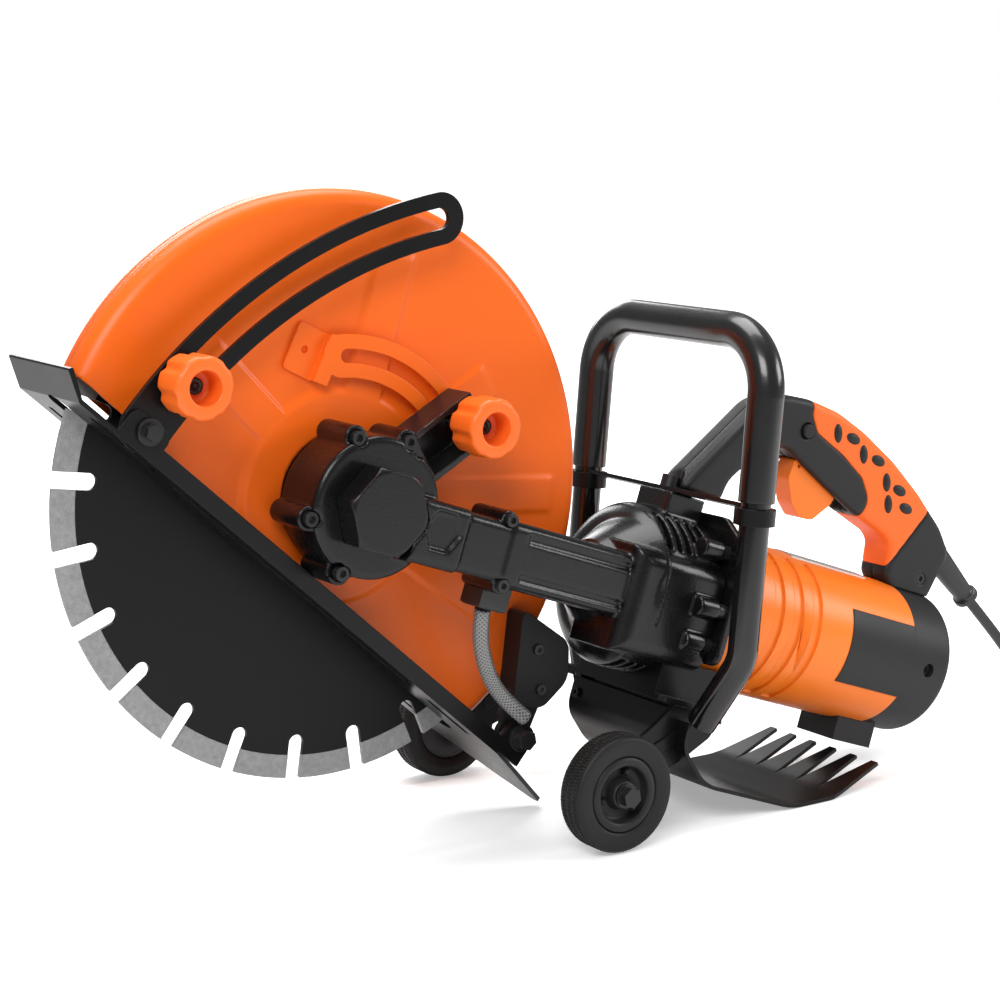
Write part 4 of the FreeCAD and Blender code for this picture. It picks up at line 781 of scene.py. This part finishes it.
@dataclass
class MainsCord:
    """Rubber mains lead, its coil out of the way, its strain relief and plug."""

    thick: float = 9.0
    route: tuple[tuple[float, float, float], ...] = (
        (0.39388, -0.0305, 0.11929), (0.4233, -0.0305, 0.0900), (0.4493, -0.0310, 0.0610),
        (0.4773, -0.0320, 0.0370), (0.5073, -0.0327, 0.0185), (0.5403, -0.0331, 0.0080))
    centre: tuple[float, float] = (0.5703, -0.0895)
    ring_radii: tuple[float, float] = (56.5, 47.5)
    layers: int = 4
    layer_rise: float = 9.05
    per_turn: int = 24
    length: float = 2.9

    def coil(self) -> list[Vector]:
        """Control points of the wound turns, from the floor up.

        Returns:
            Points in metres, layer by layer, then the tail that climbs to the plug.
        """
        ease = 1.0 / math.cos(math.pi / self.per_turn)
        points = []
        turns = []
        for layer in range(self.layers):
            pair = self.ring_radii if layer % 2 == 0 else tuple(reversed(self.ring_radii))
            turns += [(radius, 4.65 + self.layer_rise * layer) for radius in pair]
        before = turns[0]
        for radius, height in turns:
            for i in range(self.per_turn):
                share = min(1.0, i / (self.per_turn / 6.0))
                share = share * share * (3.0 - 2.0 * share)
                r = (before[0] + (radius - before[0]) * share) * ease
                z = before[1] + (height - before[1]) * share
                a = math.pi / 2.0 - 2.0 * math.pi * i / self.per_turn
                points.append(Vector((self.centre[0] + r * math.cos(a) * MM,
                                      self.centre[1] + r * math.sin(a) * MM, z * MM)))
            before = (radius, height)
        tail = ((88.0, 56.6, 31.9), (72.0, 57.2, 34.5), (58.0, 58.0, 40.0), (46.0, 60.0, 45.5))
        for angle, r, z in tail:
            a = math.radians(angle)
            points.append(Vector((self.centre[0] + r * math.cos(a) * MM,
                                  self.centre[1] + r * math.sin(a) * MM, z * MM)))
        plug_x = self.centre[0] + 0.052
        points.append(Vector((plug_x, self.centre[1] + 0.036, 0.0472)))
        points.append(Vector((plug_x, self.centre[1] + 0.0302, 0.0472)))
        return points

    def build(self, nodes: NodeMap) -> None:
        """Args:
            nodes: The CAD nodes; not used.
        """
        data = bpy.data.curves.new("mains_lead", "CURVE")
        data.dimensions = "3D"
        spline = data.splines.new("NURBS")
        points = [Vector(p) for p in self.route] + self.coil()
        spline.points.add(len(points) - 1)
        for slot, point in zip(spline.points, points):
            slot.co = (*point, 1.0)
        spline.order_u = 3
        spline.use_endpoint_u = True
        spline.resolution_u = 6
        data.bevel_depth = self.thick / 2.0 * MM
        data.bevel_resolution = 5
        data.use_fill_caps = True
        data.materials.append(CORD_BLACK.material())
        lead = put_in_scene("mains_lead", data)
        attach(lead, Body.SAW.value)
        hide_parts("power_cord", "cord_coil")
        LOG.info("mains lead: %d route points", len(points))

    def relief(self) -> None:
        """Turns the tapered boot where the lead leaves the grip."""
        way = (SAW.turn() @ Vector((0.888, 0.0, -0.459))).normalized()
        profile = [(0.5, -5.5), (11.0, -5.5)]
        profile += arc_profile((10.5, 4.5), 1.0, 0.0, 90.0, 4)
        profile += [(10.6, 6.5), (10.2, 16.0), (9.5, 28.0), (8.9, 40.0), (8.3, 51.0), (8.2, 55.5)]
        profile += arc_profile((9.4, 57.4), 1.0, -90.0, 0.0, 4)
        profile += arc_profile((9.4, 60.6), 1.0, 0.0, 90.0, 4) + [(0.5, 61.6)]
        mesh = turned_mesh("relief_boot", profile, SAW.point(547, -45, 87), way, 48)
        boot = new_piece("relief_boot", mesh, CORD_BLACK)
        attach(boot, Body.SAW.value)
        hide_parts("strain_relief")


@dataclass
class WaterHose:
    """Clear braided hose from the arm's fitting to the guard's foot."""

    radius: float = 5.9
    route: tuple[tuple[float, float, float], ...] = ((112, -66, -48), (117, -62, -66), (136, -58, -92),
                                                     (158, -56, -108), (180, -58, -117))
    around: int = 28

    def line(self) -> list[Vector]:
        """Points of the hose's centre line, read from its spline.

        Returns:
            Points in metres.
        """
        data = bpy.data.curves.new("hose_line", "CURVE")
        data.dimensions = "3D"
        spline = data.splines.new("NURBS")
        spline.points.add(len(self.route) - 1)
        for slot, point in zip(spline.points, self.route):
            slot.co = (*SAW.point(*point), 1.0)
        spline.order_u = 3
        spline.use_endpoint_u = True
        spline.resolution_u = 16
        carrier = put_in_scene("hose_line", data)
        mesh = plain_mesh(carrier)
        points = [v.co.copy() for v in mesh.vertices]
        bpy.data.objects.remove(carrier)
        bpy.data.meshes.remove(mesh)
        return points

    def build(self) -> None:
        line = self.line()
        rings = []
        for i, point in enumerate(line):
            ahead = line[min(i + 1, len(line) - 1)] - line[max(i - 1, 0)]
            side = ahead.cross(Vector((0, 1, 0))).normalized()
            up = side.cross(ahead).normalized()
            rings.append((point, side, up))

        def place(r: int, c: int) -> Vector:
            a = 2.0 * math.pi * c / self.around
            point, side, up = rings[r]
            return point + (side * math.cos(a) + up * math.sin(a)) * self.radius * MM

        mesh = grid_mesh("braided_hose", len(rings), self.around, place, wrap=True, cap_ends=True)
        along = mesh.uv_layers.new(name="along")
        for face in mesh.polygons:
            rows = [mesh.loops[k].vertex_index // self.around for k in face.loop_indices]
            columns = [mesh.loops[k].vertex_index % self.around for k in face.loop_indices]
            wrap = max(columns) - min(columns) > self.around / 2
            for k, row, column in zip(face.loop_indices, rows, columns):
                turn = column + self.around if wrap and column < self.around / 2 else column
                along.data[k].uv = (row / len(rings), turn / self.around)
        hose = new_piece("braided_hose", mesh, HOSE_BRAID)
        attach(hose, Body.SAW.value)
        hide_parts("water_hose")


# ---------------------------------------------------------------- guard

@dataclass
class Guard:
    """Two pressed steel shells round the blade."""

    centre_x: float = -3.0
    radius: float = 209.7
    near_y: float = -20.0
    far_y: float = 14.0
    shoulder: float = 11.0
    hole: float = 45.3
    edge: tuple[tuple[float, float], tuple[float, float]] = ((-216.0, 33.0), (194.0, -143.6))
    sheet: float = 1.6
    seam: float = 0.7
    ribs: tuple[tuple[float, float, float, float, float], ...] = (
        (152.0, 72.0, 150.0, 26.0, 2.1), (92.0, 72.0, 178.0, 30.0, 2.1), (48.5, 72.0, 150.0, 26.0, 1.8),
        (14.0, 72.0, 186.0, 26.0, 1.8), (-18.0, 72.0, 170.0, 26.0, 1.8))

    def reach(self, a: float) -> float:
        """How far the shell goes from the spindle in one direction.

        Args:
            a: Direction in radians.

        Returns:
            The distance in millimetres, to the round rim or the cut edge.
        """
        dx, dz = math.cos(a), math.sin(a)
        b = dx * self.centre_x
        rim = b + math.sqrt(b * b - self.centre_x ** 2 + self.radius ** 2)
        (x0, z0), (x1, z1) = self.edge
        ex, ez = x1 - x0, z1 - z0
        cross = dx * ez - dz * ex
        if abs(cross) > 1e-6:
            t = (x0 * ez - z0 * ex) / cross
            if 0.0 < t < rim:
                return t
        return rim

    def lift(self, x: float, z: float) -> float:
        """Height of the pressed ribs over the flat face at a point, in millimetres."""
        r = math.hypot(x, z)
        ring = self._step((78.0 - r) / 7.0) * 2.5
        best = ring
        for angle, r0, r1, width, height in self.ribs:
            a = math.radians(angle)
            along = x * math.cos(a) + z * math.sin(a)
            across = abs(-x * math.sin(a) + z * math.cos(a))
            inside = self._step((width / 2 - across) / 3.5 + 0.5) * self._step((r1 - along) / 9.0)
            if along > 20.0:
                best = max(best, inside * height)
        return best

    @staticmethod
    def _step(t: float) -> float:
        """A smooth step from 0 to 1."""
        t = min(1.0, max(0.0, t))
        return t * t * (3.0 - 2.0 * t)

    def rim_share(self, x: float, z: float) -> float:
        """Distance in from the round rim, in millimetres."""
        return self.radius - math.hypot(x - self.centre_x, z)

    def shell(self, name: str, face_y: float, seam_y: float, hole: float, pressed: bool) -> bpy.types.Mesh:
        """One shell: face, shoulder and rim wall, with its thickness.

        Args:
            name: The mesh's name.
            face_y: Where the flat face lies.
            seam_y: Where the rim wall ends.
            hole: Radius of the middle hole.
            pressed: Whether the face has ribs.

        Returns:
            The shell's mesh.
        """
        out = -1.0 if face_y < seam_y else 1.0
        rows, wall, steps = 96, 6, 540

        def place(r: int, c: int) -> Vector:
            a = 2.0 * math.pi * c / steps
            far = self.reach(a)
            share = min(1.0, r / (rows - 1))
            share = 1.0 - (1.0 - share) ** 1.25
            rr = hole + (far - hole) * share
            x, z = rr * math.cos(a), rr * math.sin(a)
            inset = self.rim_share(x, z)
            y = face_y
            if pressed:
                y += out * self.lift(x, z) * self._step((inset - 6.0) / 12.0)
            if inset < self.shoulder:
                drop = self.shoulder - math.sqrt(max(0.0, self.shoulder ** 2 - (self.shoulder - inset) ** 2))
                y -= out * drop
            if r >= rows:
                down = (r - rows + 1) / wall
                y = y + (seam_y - y) * down * self._step((2.5 - inset) / 2.0)
            return SAW.point(x, y, z)

        mesh = grid_mesh(name, rows + wall, steps, place, wrap=True)
        carrier = put_in_scene(name + "_work", mesh)
        thick = carrier.modifiers.new("sheet", "SOLIDIFY")
        thick.thickness = self.sheet * MM
        thick.offset = -1.0
        done = plain_mesh(carrier)
        bpy.data.objects.remove(carrier)
        done.shade_smooth()
        return done

    def build(self) -> None:
        """Makes both shells."""
        near_mesh = self.shell("guard_near_pressing", self.near_y, -self.seam, self.hole, True)
        near = new_piece("guard_near_pressing", near_mesh, GUARD_ORANGE)
        far_mesh = self.shell("guard_far_pressing", self.far_y, self.seam, 64.0, False)
        far = new_piece("guard_far_pressing", far_mesh, GUARD_ORANGE)
        for piece, node in ((near, "guard_left_shell"), (far, "guard_right_shell")):
            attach(piece, Body.GUARD.value)
            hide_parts(node)
        LOG.info("guard: two pressings")


# ---------------------------------------------------------------- knobs and wheels

@dataclass
class ClampKnob:
    """Fluted knob with a deep round socket and a screw at its bottom."""

    node: str
    body: Body
    x: float
    z: float
    back: float
    face: float
    radius: float = 21.0
    socket: float = 11.4
    lobes: int = 7
    flute: float = 2.0

    def build(self) -> None:
        """Turns the fluted body and its screw."""
        depth = self.back - self.face
        profile: list[tuple[float, float]] = [(0.4, 0.4), (9.5, 0.4)]
        profile += [(12.5, 0.6)]
        profile += arc_profile((self.radius - 3.0, 3.2), 2.8, -90.0, 0.0, 5)
        profile += [(self.radius, depth * f) for f in (0.3, 0.5, 0.7)]
        profile += arc_profile((self.radius - 4.0, depth - 4.0), 4.0, 0.0, 90.0, 8)
        profile += arc_profile((self.socket + 1.6, depth - 1.6), 1.6, 90.0, 180.0, 5)
        profile += [(self.socket - 0.4, depth - f) for f in (8.0, 14.0, 17.5)]
        profile += [(self.socket - 1.2, depth - 18.6), (7.0, depth - 18.8), (0.4, depth - 18.8)]

        def swell(a: float, radius: float, height: float) -> float:
            if radius < self.socket + 2.5:
                return radius
            scallop = max(0.0, math.cos(self.lobes * a)) ** 1.4
            outer = min(1.0, (radius - self.socket - 2.5) / 4.0)
            fade = 1.0 - 0.8 * min(1.0, max(0.0, (height - 0.66 * depth) / (0.34 * depth)))
            return radius - self.flute * scallop * outer * fade

        origin = SAW.point(self.x, self.back, self.z)
        mesh = turned_mesh(self.node + "_fluted", profile, origin, Vector((0, -1, 0)), 168, swell)
        knob = new_piece(self.node + "_fluted", mesh, KNOB_ORANGE)
        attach(knob, self.body.value)
        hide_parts(self.node)
        head = [(0.4, 11.5), (5.2, 11.5), (5.6, 12.1), (5.6, 13.6)]
        head += arc_profile((4.8, 13.8), 0.8, 0.0, 90.0, 3) + [(2.6, 14.6), (2.4, 12.6), (0.4, 12.6)]
        bolt = turned_mesh(self.node + "_screw", head, origin, Vector((0, -1, 0)), 30)
        screw = new_piece(self.node + "_screw", bolt, SCREW_BLACK)
        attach(screw, self.body.value)
        LOG.info("%s: fluted", self.node)


@dataclass
class Wheel:
    """Solid rubber wheel with a ribbed tread and a dished hub."""

    node: str
    body: Body
    y0: float
    face: int
    x: float = 231.5
    z: float = -149.0
    radius: float = 43.0
    width: float = 24.0
    ribs_round: int = 108

    def build(self) -> None:
        """Turns tyre and hub, then sets the tread ribs and hub clips."""
        w, r = self.width, self.radius - 0.9
        origin = SAW.point(self.x, self.y0 if self.face > 0 else self.y0 + w, self.z)
        axis = Vector((0, self.face, 0))
        tyre = [(27.6, 1.2)] + arc_profile((r - 3.5, 4.0), 3.5, -70.0, 0.0, 5) + [(r, w / 2)]
        tyre += arc_profile((r - 3.5, w - 4.0), 3.5, 0.0, 70.0, 5)
        tyre += [(36.5, w - 1.0), (29.5, w - 0.9), (28.0, w - 1.6), (27.6, w - 3.0), (27.6, 1.2)]
        tyre_mesh = turned_mesh(self.node + "_tyre", tyre, origin, axis, 128)
        body = new_piece(self.node + "_tyre", tyre_mesh, TYRE_RUBBER)
        hub = [(6.1, 0.8), (26.0, 0.8), (27.4, 2.4), (27.4, w - 2.4), (26.6, w - 1.2)]
        hub += [(22.5, w - 0.8), (21.2, w - 1.4), (20.3, w - 3.0), (19.8, w - 9.0), (18.0, w - 10.0),
                (12.5, w - 10.0), (11.2, w - 9.2), (10.6, w - 5.0), (10.0, w - 2.2), (9.4, w - 1.2),
                (6.1, w - 1.0), (6.1, 0.8)]
        hub_mesh = turned_mesh(self.node + "_hub", hub, origin, axis, 96)
        core = new_piece(self.node + "_hub", hub_mesh, DARK_PLASTIC)
        tread = []
        for i in range(self.ribs_round):
            for row in range(3):
                a = 2.0 * math.pi * (i + 0.5 * (row % 2)) / self.ribs_round
                y = self.y0 + w * (0.24 + 0.26 * row)
                spot = SAW.point(self.x + r * math.cos(a), y, self.z + r * math.sin(a))
                tread.append((spot, Vector((0.0, -a + math.radians(SAW.pitch), 0.0)), 1.0))
        ribs = RepeatTree.on(self.node + "_tread", tread, (0.0007, 0.0032, 0.0009), TYRE_RUBBER, 6, 4)
        clips = []
        for angle in (90.0, 210.0, 330.0):
            a = math.radians(angle)
            y = self.y0 + (w - 8.0 if self.face > 0 else 8.0)
            spot = SAW.point(self.x + 16.0 * math.cos(a), y, self.z + 16.0 * math.sin(a))
            clips.append((spot, Vector((0.0, -a + math.radians(SAW.pitch), 0.0)), 1.0))
        studs = RepeatTree.on(self.node + "_clips", clips, (0.0034, 0.004, 0.0022), DARK_PLASTIC, 12, 8)
        for piece in (body, core, ribs, studs):
            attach(piece, self.body.value)
        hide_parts(self.node)
        LOG.info("%s: tyre, hub, %d ribs", self.node, len(tread))


# ---------------------------------------------------------------- castings and mouldings

@dataclass(frozen=True)
class SoftPart:
    """A CAD solid whose edges are eased into a cast or moulded surface."""

    node: str
    finish: Finish
    body: Body = Body.SAW
    voxel: float = 1.0
    rounds: int = 5
    keep: float = 0.5


@dataclass
class Castings:
    """Castings and mouldings shown as eased copies of their CAD solids."""

    parts: tuple[SoftPart, ...] = (
        SoftPart("hub_housing", CAST_BLACK, voxel=0.9, rounds=6),
        SoftPart("hub_cap", CAST_BLACK, voxel=0.6, rounds=5, keep=0.4),
        SoftPart("arm_casting", CAST_BLACK, voxel=1.1, rounds=5),
        SoftPart("flange_plate", CAST_BLACK, voxel=0.9, rounds=4),
        SoftPart("handle_left_half", DARK_PLASTIC, voxel=0.9, rounds=14),
        SoftPart("handle_right_half", DARK_PLASTIC, voxel=0.9, rounds=14),
        SoftPart("grip_overmold", GRIP_ORANGE, voxel=0.8, rounds=26),
    )

    def build(self, nodes: NodeMap) -> None:
        """Makes each eased copy.

        Args:
            nodes: The CAD nodes.
        """
        for part in self.parts:
            name = part.node + "_eased"
            mesh = softened(nodes[part.node], name, part.voxel, part.rounds, part.keep)
            piece = new_piece(name, mesh, part.finish)
            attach(piece, part.body.value)
            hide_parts(part.node)
            LOG.info("%s: %d faces", name, len(mesh.polygons))


@dataclass
class GripDots:
    """Black oval studs on both sides of the soft grip."""

    spots: tuple[tuple[float, float], ...] = (
        (398, 151), (415, 151), (430, 142), (447, 141), (462, 127), (478, 124), (470, 111), (490, 112))
    half: float = 15.4
    size: tuple[float, float, float] = (0.0078, 0.0026, 0.0042)

    def build(self) -> None:
        """Sets the studs."""
        spots = []
        for x, z in self.spots:
            for side in (-1, 1):
                place = SAW.point(x, -45 + side * self.half, z)
                lean = SAW.pitch + 28.0 + (38.0 if len(spots) % 4 < 2 else -22.0)
                spots.append((place, Vector((0.0, math.radians(lean), 0.0)), 1.0))
        dots = RepeatTree.on("grip_dots", spots, self.size, DARK_PLASTIC, 20, 10)
        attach(dots, Body.SAW.value)
        LOG.info("grip: %d dots", len(spots))


@dataclass
class Carried:
    """Finishes of the CAD nodes that are shown as they are."""

    finishes: dict[str, Finish] = field(default_factory=lambda: {
        "guard_arc_bracket": GUARD_ORANGE, "rear_shroud": DARK_PLASTIC, "clamp_bracket": CLAMP_BLACK,
        "base_plate": SHEET_BLACK, "depth_bar": SHEET_BLACK, "carrier_plate": SHEET_BLACK,
        "cross_strap": SHEET_BLACK, "left_wheel_bracket": SHEET_BLACK, "right_wheel_bracket": SHEET_BLACK,
        "toothed_skid": SHEET_BLACK, "bail_tube": TUBE_BLACK, "bail_grip": SLEEVE_BLACK,
        "motor_housing": MOTOR_ORANGE, "motor_end_cap": DARK_PLASTIC, "blank_plate": SILVER_PLATE,
        "trigger": MOTOR_ORANGE, "lock_button": DARK_PLASTIC, "switch_module": DARK_PLASTIC,
        "mains_plug": CORD_BLACK, "cooling_fan": DARK_PLASTIC, "blade_core": BLADE_BLACK,
        "blade_segments": SEGMENT_GRIT, "case_screws": SCREW_BLACK, "shroud_screws": SCREW_BLACK,
        "plate_bolts": SCREW_BLACK, "axle_bolts": SCREW_BLACK, "commutator": COPPER, "brush_gear": COPPER,
        "water_fitting": FITTING_BLACK,
    })

    def dress(self, nodes: NodeMap) -> None:
        """Gives every carried node its material; bare machined steel where none is listed.

        Args:
            nodes: The CAD nodes.
        """
        for name, node in nodes.items():
            finish = self.finishes.get(name, MACHINED)
            node.data.materials.clear()
            node.data.materials.append(finish.material())


def main() -> None:
    """Builds the studio and every sub-assembly in order."""
    logging.basicConfig(level=logging.INFO, format="%(name)s: %(message)s")
    nodes: NodeMap = frame["nodes"]
    studio = Studio()
    studio.camera()
    cord = MainsCord()
    cord.build(nodes)
    cord.relief()
    studio.floor()
    studio.lights()
    WaterHose().build()
    Guard().build()
    ClampKnob("depth_knob", Body.DEPTH_CLAMP, -148.53, 43.98, -46, -76).build()
    ClampKnob("guard_lock_knob", Body.GUARD_CLAMP, 64.94, 73.4, -62, -92).build()
    Wheel("left_wheel", Body.WHEEL_LEFT, -128.0, -1).build()
    Wheel("right_wheel", Body.WHEEL_RIGHT, 99.0, 1).build()
    Castings().build(nodes)
    GripDots().build()
    Carried().dress(nodes)
    LOG.info("pieces done")


if __name__ == "__main__":
    main()
